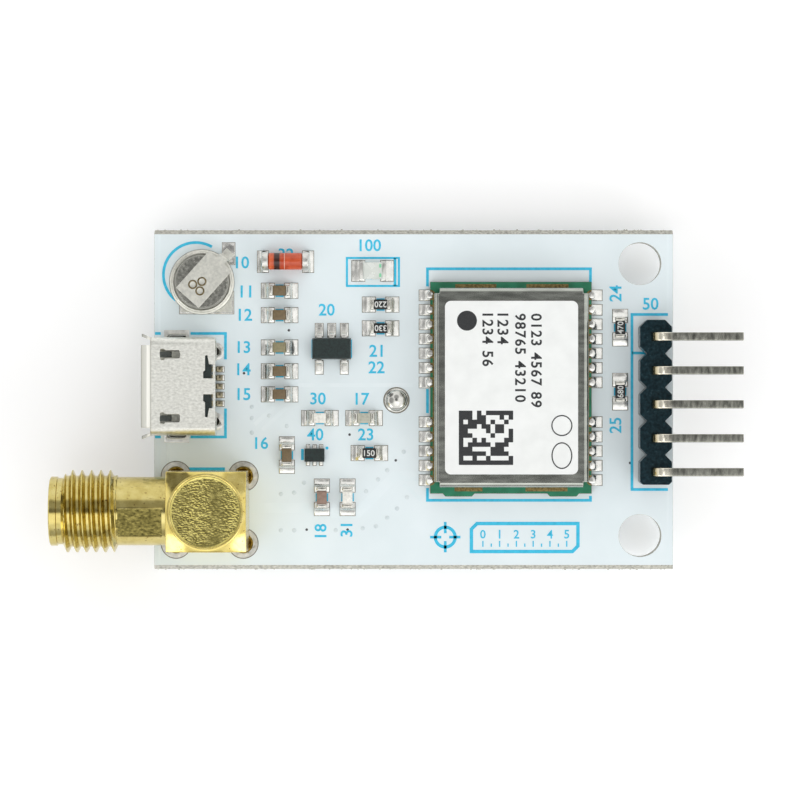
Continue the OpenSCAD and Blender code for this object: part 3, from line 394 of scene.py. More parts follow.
def numeral(bm, text, at, height, low, high, turn=0, weight=0.016, spread=1.0):
    """Sets plain digits of that height, centred at a place on the board."""
    letters = bpy.data.curves.new("digits", "FONT")
    letters.body = text
    letters.resolution_u = 3
    letters.offset = weight
    letters.space_character = spread
    letters.extrude = 0.5
    holder = bpy.data.objects.new("digits", letters)
    mesh = bpy.data.meshes.new_from_object(holder)
    xs = [v.co.x for v in mesh.vertices]
    ys = [v.co.y for v in mesh.vertices]
    size = height / (max(ys) - min(ys))
    mesh.transform(Matrix.Translation((-(max(xs) + min(xs)) / 2, -(max(ys) + min(ys)) / 2, 0)))
    mesh.transform(Matrix.Diagonal((size, size, high - low, 1)))
    mesh.transform(Matrix.Translation((*at, (low + high) / 2)) @ Matrix.Rotation(math.radians(turn), 4, "Z"))
    bm.from_mesh(mesh)
    bpy.data.objects.remove(holder)
    bpy.data.curves.remove(letters)
    bpy.data.meshes.remove(mesh)


ink = drifting("blue ink", [(42, 184, 222), (60, 202, 238)], 3, (0.4, 0.55))
print_lines = [
    # Socket
    [(-36.74, 5.01), (-36.3, 5.01)], [(-34.05, 5.01), (-31.4, 5.01), (-31.4, 3.04)],
    [(-36.74, -2.83), (-36.3, -2.83)], [(-34.05, -2.83), (-31.4, -2.83), (-31.4, -0.67)],
    # Antenna jack
    [(-34.17, -5.24), (-31.44, -5.24)],
    # Receiver
    [(-16.1, 8.57), (-16.1, 9.91), (-3.75, 9.91), (-3.75, 8.83)], [(-16.1, 0.8), (-16.1, -1.02)],
    [(-16.1, -6.7), (-16.1, -7.63), (-3.75, -7.63), (-3.75, -7.3)],
    # Pin header
    [(2.12, 6.45), (-0.61, 6.45), (-0.61, -6.81), (2.12, -6.81)], [(-0.61, 3.53), (0.45, 3.53)],
    # Amplifier
    [(-25.57, -3.74), (-25.57, -4.58)],
    # Backup cell
    arc((-33.65, 9.45), 2.45, 60, 232, 40),
    # Lamp
    [(-18.56, 10.73), (-18.56, 8.61)],
]
lamp_frame = [(-22.2, 8.61), (-18.26, 8.61), (-18.26, 10.73), (-22.2, 10.73)]
scale_frame = [(-12.77, -11.51), (-5.12, -11.51), (-4.7, -11.09),
               (-4.7, -9.39), (-12.35, -9.39), (-12.77, -9.81)]
cross_at = Vector((-14.75, -10.42))
numbers = [
    ("10", (-30.11, 10.39), 0), ("11", (-29.85, 8.19), 0), ("12", (-29.89, 6.43), 0),
    ("13", (-30.0, 3.98), 0), ("14", (-30.0, 2.3), 0), ("15", (-30.0, 0.41), 0),
    ("16", (-28.66, -3.29), 0), ("20", (-23.73, 6.81), 0), ("100", (-20.43, 11.69), 0),
    ("21", (-20.0, 3.7), 0), ("22", (-19.96, 2.45), 0), ("30", (-24.39, 0.08), 0),
    ("17", (-21.02, 0.05), 0), ("40", (-24.6, -2.64), 0), ("23", (-20.78, -2.64), 0),
    ("32", (-26.8, 11.0), 0), ("18", (-24.2, -9.92), 90), ("31", (-22.23, -9.9), 90),
    ("24", (-1.86, 8.04), 90), ("25", (-1.86, -1.96), 90), ("50", (0.81, 7.26), 0),
]
printed = bmesh.new()
for line in print_lines:
    ribbon(printed, line, INK_WIDTH, BOARD_TOP, INK_TOP)
ribbon(printed, lamp_frame, INK_WIDTH * 0.75, BOARD_TOP, INK_TOP, closed=True)
ribbon(printed, scale_frame, 0.26, BOARD_TOP, INK_TOP, closed=True)
for tick in range(11):
    x = SCALE_START + tick * SCALE_STEP
    tick_end = SCALE_FOOT + (0.25 if tick % 2 else 0.45)
    bar(printed, x - TICK_HALF, SCALE_FOOT, x + TICK_HALF, tick_end, BOARD_TOP, INK_TOP)
for digit in range(6):
    numeral(printed, str(digit), (SCALE_START + digit * 2 * SCALE_STEP, -10.2), 0.66, BOARD_TOP, INK_TOP)
ribbon(printed, arc(cross_at, 0.75, 0, 360, 48)[:-1], 0.24, BOARD_TOP, INK_TOP, closed=True)
for way in ((1, 0), (0, 1), (-1, 0), (0, -1)):
    ribbon(printed, [cross_at + Vector(way) * r for r in (0.3, 1.15)], 0.2, BOARD_TOP, INK_TOP)
slab(printed, arc((-23.71, -3.67), 0.12, 0, 330, 11), BOARD_TOP, INK_TOP)
slab(printed, [(-20.55, 9.3), (-20.2, 9.3), (-20.38, 9.08)], BOARD_TOP, INK_TOP)
for text, at, turn in numbers:
    numeral(printed, text, at, NUMBER_HEIGHT, BOARD_TOP, INK_TOP, turn)
chip_nodes = [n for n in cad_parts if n.startswith(("capacitor_", "inductor_", "resistor_"))]
for node in chip_nodes:
    low, high = (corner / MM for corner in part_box(node))
    centre = (low + high) / 2
    standing = high.y - low.y > high.x - low.x
    x, y = reversed(CHIP_PRINT_HALF) if standing else CHIP_PRINT_HALF
    bar(printed, centre.x - x, centre.y - y, centre.x + x, centre.y + y, BOARD_TOP, INK_TOP)
low, high = (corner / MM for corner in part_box("regulator_body"))
bar(printed, low.x - 0.06, low.y + 0.1, high.x + 0.06, high.y - 0.1, BOARD_TOP, INK_TOP)
piece_of("blue-print", printed, ink, "white_board", smooth=False)


# Vias: plated through holes, most of them closed by the lacquer as low pimples, some left as dark pits.
# One node tree sets the same small button on every place, once for each kind.
LACQUERED_VIAS = [
    (-27.2, -7.15), (-26.2, -7.05), (-25.45, -6.3), (-27.2, -9.9), (-26.2, -9.9), (-23.05, -9.9),
    (-21.0, -9.75), (-20.0, -9.6), (-20.75, -6.95), (-19.85, -6.05), (-18.4, -8.25), (-17.65, -7.4),
    (-19.15, -8.95), (-17.9, -3.95), (-19.15, -5.35), (-29.4, -0.55), (-29.4, -1.4), (-29.4, -2.5),
    (-26.75, -2.0), (-28.1, -1.2),
]
OPEN_VIAS = [
    (-26.6, 5.25), (-30.0, 2.0), (-18.5, -4.6), (-22.0, -2.65),
    (-25.25, -9.85), (-22.15, -9.85), (-0.75, -4.8),
]
via_tree = new_tree("Buttons on places")
via_radius = tree_input(via_tree, "Radius", "NodeSocketFloat", 0.15 * MM)
via_height = tree_input(via_tree, "Height", "NodeSocketFloat", 0.02 * MM)
via_finish = tree_input(via_tree, "Finish", "NodeSocketMaterial", None)
steps = via_tree.nodes
given = steps.new("NodeGroupInput")
places = steps.new("GeometryNodeMeshToPoints")
button = steps.new("GeometryNodeMeshCone")
button.inputs["Vertices"].default_value = 20
button.inputs["Side Segments"].default_value = 2
narrowed = steps.new("ShaderNodeMath")
narrowed.operation = "MULTIPLY"
narrowed.inputs[1].default_value = 0.6
sown = steps.new("GeometryNodeInstanceOnPoints")
real = steps.new("GeometryNodeRealizeInstances")
coated = steps.new("GeometryNodeSetMaterial")
result = steps.new("NodeGroupOutput")
wire(via_tree.links, (given, "Geometry", places, "Mesh"), (given, "Radius", button, "Radius Bottom"),
     (given, "Radius", narrowed, 0), (narrowed, "Value", button, "Radius Top"),
     (given, "Height", button, "Depth"), (places, "Points", sown, "Points"),
     (button, "Mesh", sown, "Instance"), (sown, "Instances", real, "Geometry"),
     (real, "Geometry", coated, "Geometry"),
     (given, "Finish", coated, "Material"), (coated, "Geometry", result, "Geometry"))
pimple = drifting("lacquer over a via", [(206, 218, 222), (222, 231, 233)], 4, (0.25, 0.4))
# The open vias are thin dark buttons on the lacquer: painted shade standing for the holes.
via_hole_shade = drifting("painted shade of an open via", [(40, 44, 50), (88, 86, 88)], 8, (0.5, 0.7))
for name, spots, radius, height, finish in (("vias-lacquered", LACQUERED_VIAS, 0.17, 0.022, pimple),
                                            ("vias-open", OPEN_VIAS, 0.1, 0.008, via_hole_shade)):
    places_mesh = bmesh.new()
    for x, y in spots:
        places_mesh.verts.new((x, y, BOARD_TOP))
    grown(name, via_tree, {via_radius: radius * MM, via_height: height * MM, via_finish: finish}, finish,
          places_mesh)


# Plated rings and solder: tinned copper round each hole, bright solder hollowed up against every part
# and drawn down into cones where a lead is cut off under the board.
SHADE_OFFSET, SHADE_LINE, SHADE_LINE_TOP = 0.015, 0.036, BOARD_TOP + 0.016
JACK_LEGS = [(x, y) for x in (-35.14, -30.06) for y in (-10.89, -5.81)]
LEG_RING, POINT_RING, RING_SHADE_LINE = 1.12, 0.95, 0.1
tin = drifting("tinned copper", [(196, 196, 191), (230, 229, 223)], 3, (0.26, 0.38), 1.0, 0.02)
solder = drifting("bright solder", [(216, 216, 211), (242, 241, 236)], 1.7, (0.17, 0.28), 1.0, 0.05,
                  detail=1)
# A dark tone for the thin lines round the pads: painted shade.
pad_shade = drifting("painted shade round pads", [(104, 101, 90), (142, 138, 124)], 6, (0.6, 0.8))


def islands(bm):
    """Groups of vertices that hang together in a mesh."""
    waiting = set(bm.verts)
    while waiting:
        group, edge_of_group = set(), [waiting.pop()]
        while edge_of_group:
            here = edge_of_group.pop()
            group.add(here)
            near = {e.other_vert(here) for e in here.link_edges} & waiting
            waiting -= near
            edge_of_group += near
        yield group


def centre_of(node):
    """Middle of a CAD node in millimetres."""
    low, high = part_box(node)
    return (low + high) / 2 / MM


def ring_pads(node, ringed):
    """Draws a thin dark line round the foot of each pad of a CAD node, laid as the gap between pad and
    lacquer: painted shade where the solder meets the board.
    """
    pads = solid_of(node)
    for group in islands(pads):
        foot = [v.co for v in group if v.co.z < BOARD_TOP + 0.1]
        if not foot:
            continue
        xs, ys = [p.x for p in foot], [p.y for p in foot]
        left, right = min(xs) - SHADE_OFFSET, max(xs) + SHADE_OFFSET
        front, back = min(ys) - SHADE_OFFSET, max(ys) + SHADE_OFFSET
        ribbon(ringed, [(left, front), (right, front), (right, back), (left, back)], SHADE_LINE,
               BOARD_TOP, SHADE_LINE_TOP, closed=True)
    pads.free()


eased("hole_rings", tin, "tinned", edge=0.02)
eased("pin_solder", solder, "tinned", edge=0.08, steps=3)
eased("surface_solder", solder, "tinned", edge=0.04, steps=3)
# A thin dark line lies round every pad, jack leg ring and the test point: painted shade where the solder
# meets the lacquer, laid out as the gap between pad and lacquer.
pad_shade_lines = bmesh.new()
ring_pads("surface_solder", pad_shade_lines)
ring_pads("receiver_solder", pad_shade_lines)
for spot, radius in [(leg, LEG_RING) for leg in JACK_LEGS] + [(centre_of("test_point"), POINT_RING)]:
    ribbon(pad_shade_lines, arc(spot, radius, 0, 360, 48)[:-1], RING_SHADE_LINE, BOARD_TOP, SHADE_LINE_TOP, closed=True)
piece_of("pad-shade-lines", pad_shade_lines, pad_shade, "white_board", smooth=False)


# Test point: a plated hole that the solder filled and crowned with a smooth dome on each face.
# It is the brightest solder on the board, because no lead was in it while it cooled.
POINT_BORE, POINT_RADIUS, DOME_RADIUS, DOME_RISE = 0.5, 0.92, 0.8, 0.45


def spun(profile, around=72, loop=False):
    """Turns a profile of radius and height about the Z axis."""
    bm = bmesh.new()
    turns = [(math.cos(math.tau * i / around), math.sin(math.tau * i / around)) for i in range(around)]
    rings = []
    for radius, height in profile:
        if radius < 1e-6:
            rings.append([bm.verts.new((0, 0, height))] * around)
        else:
            rings.append([bm.verts.new((radius * c, radius * s, height)) for c, s in turns])
    for lower, upper in zip(rings, rings[1:] + (rings[:1] if loop else [])):
        for i in range(around):
            k = (i + 1) % around
            corners = list(dict.fromkeys((lower[i], lower[k], upper[k], upper[i])))
            if len(corners) > 2:
                bm.faces.new(corners)
    bmesh.ops.recalc_face_normals(bm, faces=bm.faces)
    return bm


dome = [(DOME_RADIUS * math.sin(a), BOARD_TOP + 0.05 + DOME_RISE * math.cos(a))
        for a in (math.radians(90 - 6 * i) for i in range(16))]
upper_half = [(POINT_BORE, BOARD_TOP / 2), (POINT_BORE, BOARD_TOP), (POINT_RADIUS, BOARD_TOP),
              (POINT_RADIUS, BOARD_TOP + 0.03), (POINT_RADIUS - 0.03, BOARD_TOP + 0.05)] + dome
lower_half = [(r, BOARD_TOP - z) for r, z in reversed(upper_half)]
point = spun(lower_half + upper_half[1:], 64)
place = centre_of("test_point")
point.transform(Matrix.Translation((place.x, place.y, 0)))
mirror_solder = drifting("smooth solder", [(196, 196, 190), (226, 225, 219)], 1.5, (0.08, 0.16), 1.0)
piece_of("test-dome", point, mirror_solder, "tinned", "test_point")


# Receiver board: a small green board with plated half holes along two sides and two snapped-off stubs.
# It is soldered flat on the main board, and the can stands on bare copper lands along its edges.
RECEIVER = Vector((-9.8, 0.9))
RECEIVER_HALF = Vector((6.1, 8.0))
RECEIVER_TOP = 2.45
CAN_HALF = Vector((5.8, 7.5))
CONTACT_PITCH, CONTACT_END = 1.1, 1.0
SIDE_LAND, SIDE_LAND_SHORT = 0.11, 0.45
HALF_HOLE, HALF_RING = 0.34, 0.11
green = lacquered("green lacquer", [(16, 104, 70), (32, 132, 96)], 1.2, (0.3, 0.45),
                  [(62, 56, 38), (112, 100, 72)])
eased("receiver_board", green, "green_board", edge=0.02, steps=1)
bare_copper = drifting("tarnished copper lands", [(88, 76, 46), (158, 138, 88)], 6, (0.3, 0.5), 0.8)
lands = bmesh.new()
for side, spans in ((1, ((-4.2, -1.1), (1.17, 4.35))), (-1, ((-4.26, -2.15), (1.1, 4.27)))):
    for start, end in spans:
        edge = sorted((side * (CAN_HALF.y - 0.1), side * (CAN_HALF.y + 0.33)))
        bar(lands, RECEIVER.x + start, RECEIVER.y + edge[0], RECEIVER.x + end, RECEIVER.y + edge[1],
            RECEIVER_TOP, RECEIVER_TOP + 0.012)
for side in (-1, 1):
    foot = sorted((side * (CAN_HALF.x - 0.05), side * (CAN_HALF.x + SIDE_LAND)))
    reach = CAN_HALF.y - SIDE_LAND_SHORT
    bar(lands, RECEIVER.x + foot[0], RECEIVER.y - reach, RECEIVER.x + foot[1], RECEIVER.y + reach,
        RECEIVER_TOP, RECEIVER_TOP + 0.02)
first = RECEIVER_HALF.y - CONTACT_END
contact_rows = [first - i * CONTACT_PITCH for i in range(7)] + [i * CONTACT_PITCH - first for i in range(5)]
for side in (-1, 1):
    for y in contact_rows:
        middle = (RECEIVER.x + side * RECEIVER_HALF.x, RECEIVER.y + y)
        ribbon(lands, arc(middle, HALF_HOLE, 90, 90 + side * 180, 12), HALF_RING,
               RECEIVER_TOP, RECEIVER_TOP + 0.012)
piece_of("receiver-lands", lands, bare_copper, "copper", smooth=False)
eased("receiver_solder", solder, "tinned", edge=0.05, steps=3)


# Parts under the can: the receiver chip, a filter, the clock crystal in its metal case and rows of small
# chip parts, all soldered flat on the green board and out of sight once the can is on.
moulding = drifting("black moulding", [(2, 18, 17), (28, 48, 46)], 7, (0.4, 0.58), 0.0, 0.008)
ceramic = drifting("pale ceramic", [(196, 188, 168), (214, 206, 186)], 6, (0.4, 0.5))
eased("receiver_chip", moulding, "black_plastic")
eased("saw_filter", ceramic, "gold_plate")
eased("clock_crystal", tin, "tinned")
eased("receiver_passives", ceramic, "capacitor_brown")


# Shield can: nickel silver sheet folded down on four sides, open at the corners where the folds meet.
# Its rolled skin is bright, with faint scuffs from handling.
nickel = drifting("nickel silver", [(162, 165, 158), (184, 187, 179)], 2.5, (0.13, 0.2), 1.0, 0.003,
                  (0.25, 1, 1))
eased("shield_can", nickel, "shield_steel", edge=0.05, steps=3)


# Label: a white film stuck on the can, printed in black with plain digits, a start dot, a block pattern,
# a ring and an oval.
LABEL_TOP = 4.13
PRINT_TOP = LABEL_TOP + 0.008
LINE_START, DIGIT_HEIGHT = 5.56, 0.84
CODE_CELLS, CODE_CELL, CODE_FILL = 12, 0.34, 0.52
film = drifting("white film", [(238, 240, 238), (245, 247, 245)], 0.8, (0.35, 0.45))
black_ink = drifting("black ink", [(28, 30, 32), (48, 50, 52)], 12, (0.45, 0.6))
eased("receiver_label", film, "label_white", edge=0.015, steps=1)
label_print = bmesh.new()


def on_label(x, y):
    return (RECEIVER.x + x, RECEIVER.y + y)


def add_to(bm, other):
    """Moves the faces of another bmesh into this one."""
    passed = bpy.data.meshes.new("passed")
    other.to_mesh(passed)
    other.free()
    bm.from_mesh(passed)
    bpy.data.meshes.remove(passed)


slab(label_print, arc(on_label(-3.35, 5.03), 0.75, 0, 352.5, 47), LABEL_TOP, PRINT_TOP)
for text, column in (("0123 4567 89", 1.87), ("98765 43210", 0.67), ("1234", -0.65), ("1234 56", -1.78)):
    digits = bmesh.new()
    numeral(digits, text, (0, 0), DIGIT_HEIGHT, LABEL_TOP, PRINT_TOP, -90, 0.02, 1.15)
    reach = max(v.co.y for v in digits.verts)
    digits.transform(Matrix.Translation((*on_label(column, LINE_START - reach), 0)))
    add_to(label_print, digits)
chance = random.Random(7)
for row in range(CODE_CELLS):
    for column in range(CODE_CELLS):
        edge = column == 0 or row == CODE_CELLS - 1
        if edge or chance.random() < CODE_FILL:
            x, y = on_label(-3.96 + column * CODE_CELL, -1.73 - row * CODE_CELL)
            bar(label_print, x, y - CODE_CELL, x + CODE_CELL, y, LABEL_TOP, PRINT_TOP)
for height, half_width, half_length in ((-2.85, 0.75, 0.75), (-5.11, 0.74, 0.96)):
    around = [math.tau * i / 48 for i in range(48)]
    oval = [on_label(3.78 + half_width * math.cos(a), height + half_length * math.sin(a)) for a in around]
    ribbon(label_print, oval, 0.09, LABEL_TOP, PRINT_TOP, closed=True)
piece_of("label-print", label_print, black_ink, "label_white", smooth=False)


# Antenna jack, block and cap: brass turned and milled square, plated with gold, with four legs in the board.
# A thin cap is pressed into the top, and the punch left its face finely crinkled.
JACK = Vector((-32.6, -8.35))
CAP_RADIUS, CAP_FOOT, CAP_TOP = 2.65, 7.75, 8.15
CAP_CELLS = 150
CRINKLE = 0.0085
BEAD_AT, BEAD_HALF, BEAD_LOW, BEAD_FOOT = 2.75, 0.1, 8.07, 7.97
LEG_HOLE = 0.745
gold = drifting("gold plate", [(206, 184, 100), (224, 204, 122), (234, 216, 140)], 1.4,
                (0.1, 0.2), 1.0, 0.003, spread=(0.25, 0.75))
speckled(gold, (140, 112, 58), 5, 0.7)
eased("jack_block", gold, "gold_plate", edge=0.05, steps=3)
bead = [(BEAD_AT - BEAD_HALF, BEAD_FOOT), (BEAD_AT + BEAD_HALF, BEAD_FOOT)]
bead += arc((BEAD_AT, BEAD_LOW), BEAD_HALF, 0, 180, 12)
rolled = spun(bead, 96, loop=True)
rolled.transform(Matrix.Translation((*JACK, 0)))
piece_of("jack-bead", rolled, gold, "gold_plate")
fluxed = drifting("solder brown with flux", [(96, 74, 34), (196, 172, 96)], 4, (0.15, 0.3), 0.9, 0.04)
sunk = [(0.2, 1.2), (0.4, 1.22), (0.56, 1.34), (LEG_HOLE, 1.56),
        (LEG_HOLE, 1.5), (0.56, 1.28), (0.4, 1.16), (0.2, 1.14)]
menisci = bmesh.new()
for leg in JACK_LEGS:
    cup = spun(sunk, 40, loop=True)
    cup.transform(Matrix.Translation((*leg, 0)))
    add_to(menisci, cup)
piece_of("jack-leg-solder", menisci, fluxed, "tinned")
cap = bmesh.new()
grid = []
for i in range(CAP_CELLS + 1):
    line = []
    for j in range(CAP_CELLS + 1):
        u, v = 2 * i / CAP_CELLS - 1, 2 * j / CAP_CELLS - 1
        x = CAP_RADIUS * u * math.sqrt(1 - v * v / 2)
        y = CAP_RADIUS * v * math.sqrt(1 - u * u / 2)
        inward = min(1, (CAP_RADIUS - math.hypot(x, y)) / 0.12)
        rough = noise.fractal(Vector((x * 5.5, y * 9.5, 2.3)), 0.7, 2.1, 2)
        broad = noise.noise(Vector((x * 0.6, y * 0.6, 9.1)))
        z = CAP_TOP - 0.04 * inward + inward * CRINKLE * (0.8 + 0.8 * broad) * rough
        line.append(cap.verts.new((JACK.x + x, JACK.y + y, min(z, CAP_TOP))))
    grid.append(line)
for i in range(CAP_CELLS):
    for j in range(CAP_CELLS):
        cap.faces.new((grid[i][j], grid[i + 1][j], grid[i + 1][j + 1], grid[i][j + 1]))
rim = [e for e in cap.edges if e.is_boundary]
wall = bmesh.ops.extrude_edge_only(cap, edges=rim)["geom"]
for v in wall:
    if isinstance(v, bmesh.types.BMVert):
        v.co.z = CAP_FOOT
bmesh.ops.holes_fill(cap, edges=[e for e in cap.edges if e.is_boundary], sides=0)
bmesh.ops.recalc_face_normals(cap, faces=cap.faces)
dull_gold = drifting("crinkled gold", [(194, 180, 102), (218, 205, 126)], 3, (0.1, 0.2), 1.0)
piece_of("jack-cap", cap, dull_gold, "gold_plate", "jack_cap")


# Antenna jack, barrel: turned brass with a spigot in the block, a neck with two wrench flats, a rolled
# thread, a runout groove and a plain nose with a counterbored mouth. The thread is a true right-hand helix.
BARREL_FRONT = -35.6
BARREL_AXIS = 4.95
NECK_RADIUS, FLAT_AT, FLAT_TURN = 2.575, 2.33, math.radians(110)
THREAD_START, THREAD_END = 3.7, 7.8
THREAD_ROOT, THREAD_CREST, THREAD_PITCH = 2.67, 3.1, 0.7056
HELIX_START, HELIX_TURNS = 3.199, 7.8
RUN_IN, RUN_OUT = 2.62, 2.5
AROUND, PER_PITCH = 144, 16
barrel = bmesh.new()
turns = [math.tau * i / AROUND for i in range(AROUND)]


def at_barrel(reach, radius, turn):
    """A place on the barrel, at that reach out of the block and that turn from +Y over the top."""
    return (BARREL_FRONT - reach, JACK.y + radius * math.cos(turn), BARREL_AXIS + radius * math.sin(turn))


def barrel_ring(reach, radius, flat=False):
    radii = [radius] * AROUND
    if flat:
        radii = [min(radius, FLAT_AT / max(0.01, abs(math.cos(a - FLAT_TURN)))) for a in turns]
    return [barrel.verts.new(at_barrel(reach, r, a)) for r, a in zip(radii, turns)]


def skin(rings):
    for lower, upper in zip(rings, rings[1:]):
        for i in range(AROUND):
            k = (i + 1) % AROUND
            barrel.faces.new((lower[i], lower[k], upper[k], upper[i]))


inner = [(-0.8, 2.05), (7.15, 2.05), (7.15, 2.3), (8.69, 2.3), (8.75, 2.36)]
outer = [(8.75, 2.52), (8.67, 2.6), (8.2, 2.6), (8.15, RUN_OUT), (THREAD_END, RUN_OUT)]
skin([barrel_ring(*p) for p in inner + outer])
neck = [(THREAD_START, RUN_IN), (THREAD_START, NECK_RADIUS), (3.581, NECK_RADIUS),
        (3.57, NECK_RADIUS, True), (0.31, NECK_RADIUS, True), (0.3, NECK_RADIUS), (0, NECK_RADIUS),
        (0, 2.425), (-0.8, 2.425), (-0.8, 2.05)]
skin([barrel_ring(*p) for p in neck])
rows = []
for step in range(int(HELIX_TURNS * PER_PITCH)):
    phase = step / PER_PITCH
    tooth = max(0, min(1, (0.36 - abs(phase % 1 - 0.5)) / 0.3))
    row = []
    for i in range(AROUND + 1):
        reach = HELIX_START + (phase - i / AROUND) * THREAD_PITCH
        reach = max(THREAD_START, min(THREAD_END, reach))
        radius = THREAD_ROOT + (THREAD_CREST - THREAD_ROOT) * tooth
        radius = min(radius, RUN_IN + 2 * (reach - THREAD_START), RUN_OUT + 2 * (THREAD_END - reach))
        row.append(barrel.verts.new(at_barrel(reach, radius, math.tau * i / AROUND)))
    rows.append(row)
for lower, upper in zip(rows, rows[1:]):
    for i in range(AROUND):
        barrel.faces.new((lower[i], lower[i + 1], upper[i + 1], upper[i]))
bmesh.ops.remove_doubles(barrel, verts=barrel.verts, dist=0.0004)
bmesh.ops.recalc_face_normals(barrel, faces=barrel.faces)
turned_gold = drifting("turned gold", [(186, 168, 98), (204, 188, 118), (214, 200, 134)],
                       1.4, (0.1, 0.2), 1.0, 0.003, spread=(0.25, 0.75))
speckled(turned_gold, (128, 102, 54), 5, 0.69)
piece = piece_of("jack-barrel", barrel, turned_gold, "gold_plate", "jack_barrel")
piece.data.set_sharp_from_angle(angle=math.radians(32))
# The two wrench flats take a second, much darker gold: its mottling stands for the milling marks, its
# darkness is painted shade.
milled_gold_in_shade = drifting("milled gold in painted shade", [(58, 54, 24), (152, 140, 80)], 6, (0.16, 0.3), 1.0, 0.012,
                  (0.6, 1, 1))
piece.data.materials.append(milled_gold_in_shade)
flat_normal = Vector((0, math.cos(FLAT_TURN), math.sin(FLAT_TURN)))
for face in piece.data.polygons:
    on_neck = BARREL_FRONT - THREAD_START < face.center.x / MM < BARREL_FRONT - 0.2
    if on_neck and abs(face.normal.dot(flat_normal)) > 0.99:
        face.material_index = 1
fluoroplastic = drifting("white fluoroplastic", [(226, 224, 216), (240, 239, 233)], 1, (0.4, 0.5))
eased("jack_insulator", fluoroplastic, "white_insulator", edge=0.05)
eased("jack_contact", gold, "gold_plate", edge=0.05)


# Socket for a small data plug: a shell folded from tinned steel, with flared lips, latch slots and cut-outs,
# round a black moulding that carries five gilt contacts. Tabs and pegs hold it in slots of the board.
SOCKET_Y, SOCKET_TOP = 1.0, 4.15
SLOT_LEFT, SLOT_RIGHT, SLOT_NEAR, SLOT_FAR = -36.4, -34.5, 1.9, 2.85
LIP_EDGE, LIP_FOLD = -37.62, -36.96
socket_steel = drifting("tinned socket steel", [(212, 212, 204), (245, 245, 238)], 7, (0.36, 0.5), 1.0,
                        0.003, (0.6, 1, 1), 6)
# The flared lips are painted along X: from a darker outer edge up to a bright painted highlight along the
# fold, then a band of painted shade just inside the fold.
lip_fold_highlight, fold_shade = (255, 254, 246), (186, 185, 175)
banded(socket_steel, "X", [
    (LIP_EDGE, (150, 149, 140), 1), (LIP_EDGE + 0.09, (198, 198, 189), 0.9),
    (LIP_FOLD - 0.3, (214, 214, 206), 0.9), (LIP_FOLD - 0.2, lip_fold_highlight, 1),
    (LIP_FOLD - 0.02, lip_fold_highlight, 1), (LIP_FOLD + 0.03, fold_shade, 1),
    (LIP_FOLD + 0.12, fold_shade, 0), (LIP_FOLD + 2, fold_shade, 0),
])
contact_metal = drifting("gilt contacts", [(104, 98, 80), (164, 156, 132)], 6, (0.12, 0.2), 1.0)
shell = eased("usb_shell", socket_steel, "usb_steel", edge=0.03, steps=2)
shell.data.materials.append(drifting("steel in the shade", [(58, 62, 60), (82, 86, 82)], 5, (0.4, 0.5), 0.6))
for face in shell.data.polygons:
    x, y, z = face.center / MM
    in_slot = SLOT_LEFT < x < SLOT_RIGHT and SLOT_NEAR < abs(y - SOCKET_Y) < SLOT_FAR
    if in_slot and z < SOCKET_TOP - 0.04 and face.normal.z > 0.2:
        face.material_index = 1
eased("usb_insulator", moulding, "black_plastic", edge=0.03)
eased("usb_contacts", contact_metal, "gold_plate", edge=0.02)


# Pin header: five square pins pushed through a black moulded strip and bent level, soldered under the board.
# The strip has a notch between each two pins, because it snaps off a longer one.
PIN_RISE, BEND_HIGHLIGHT_AT, BEND_END, PIN_TIP = 0.9, 1.65, 2.25, 7.6
pin_metal = drifting("tinned pin brass", [(146, 147, 138), (178, 178, 168)], 4, (0.12, 0.24), 1.0, 0.006,
                     (1, 0.35, 1))
# Over each bend the pins are painted: a warm painted sheen from the rise, then a near-white painted
# highlight on the bend, fading out along the level run.
bend_sheen, bend_highlight = (176, 160, 116), (255, 250, 232)
banded(pin_metal, "X", [
    (PIN_RISE, bend_sheen, 0.8), (BEND_HIGHLIGHT_AT - 0.3, bend_highlight, 1), (BEND_HIGHLIGHT_AT + 0.1, bend_highlight, 1),
    (BEND_END, bend_highlight, 0), (PIN_TIP, bend_highlight, 0),
])
strip_plastic = drifting("black strip plastic", [(5, 25, 31), (18, 46, 54)], 5, (0.14, 0.28), 0.0, 0.012)
strip_plastic.node_tree.nodes["Principled BSDF"].inputs["Specular IOR Level"].default_value = 0.22
eased("header_body", strip_plastic, "black_plastic", edge=0.06, steps=3)
for number in range(1, 6):
    eased(f"header_pin_{number}", pin_metal, "pin_metal", edge=0.08, steps=3)


# Backup cell: a drawn steel cup crimped over a lid with a gasket between, and a strip welded to each.
# The strips are soldered to the board, and three round spots show where the upper one was welded.
CELL = Vector((-33.125, 8.875))
GASKET_IN, GASKET_OUT, GASKET_TOP = 1.955, 2.055, 3.08
STRIP_TOP, STRIP_TURN = 3.29, 48
WELD_BACK, WELD_SPREAD, WELD_RADIUS, WELD_LINE = 0.39, 0.42, 0.29, 0.12
cell_steel = drifting("cell steel", [(210, 210, 200), (230, 229, 219)], 4, (0.42, 0.54), 1.0, 0.004)
lid_steel = drifting("lid steel", [(142, 142, 135), (176, 176, 168)], 4, (0.2, 0.3), 1.0, 0.006)
strip_steel = drifting("strip steel", [(200, 200, 192), (224, 223, 214)], 5, (0.42, 0.52), 1.0, 0.003)
gasket_plastic = drifting("gasket plastic", [(150, 150, 143), (172, 172, 164)], 8, (0.4, 0.55))
eased("battery_can", cell_steel, "cell_steel", edge=0.12, steps=4)
eased("battery_lid", lid_steel, "cell_steel", edge=0.05, steps=3)
gasket_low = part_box("battery_gasket")[0].z / MM
gasket = spun([(GASKET_IN, gasket_low), (GASKET_OUT, gasket_low), (GASKET_OUT, GASKET_TOP),
               (GASKET_IN, GASKET_TOP)], loop=True)
gasket.transform(Matrix.Translation((*CELL, 0)))
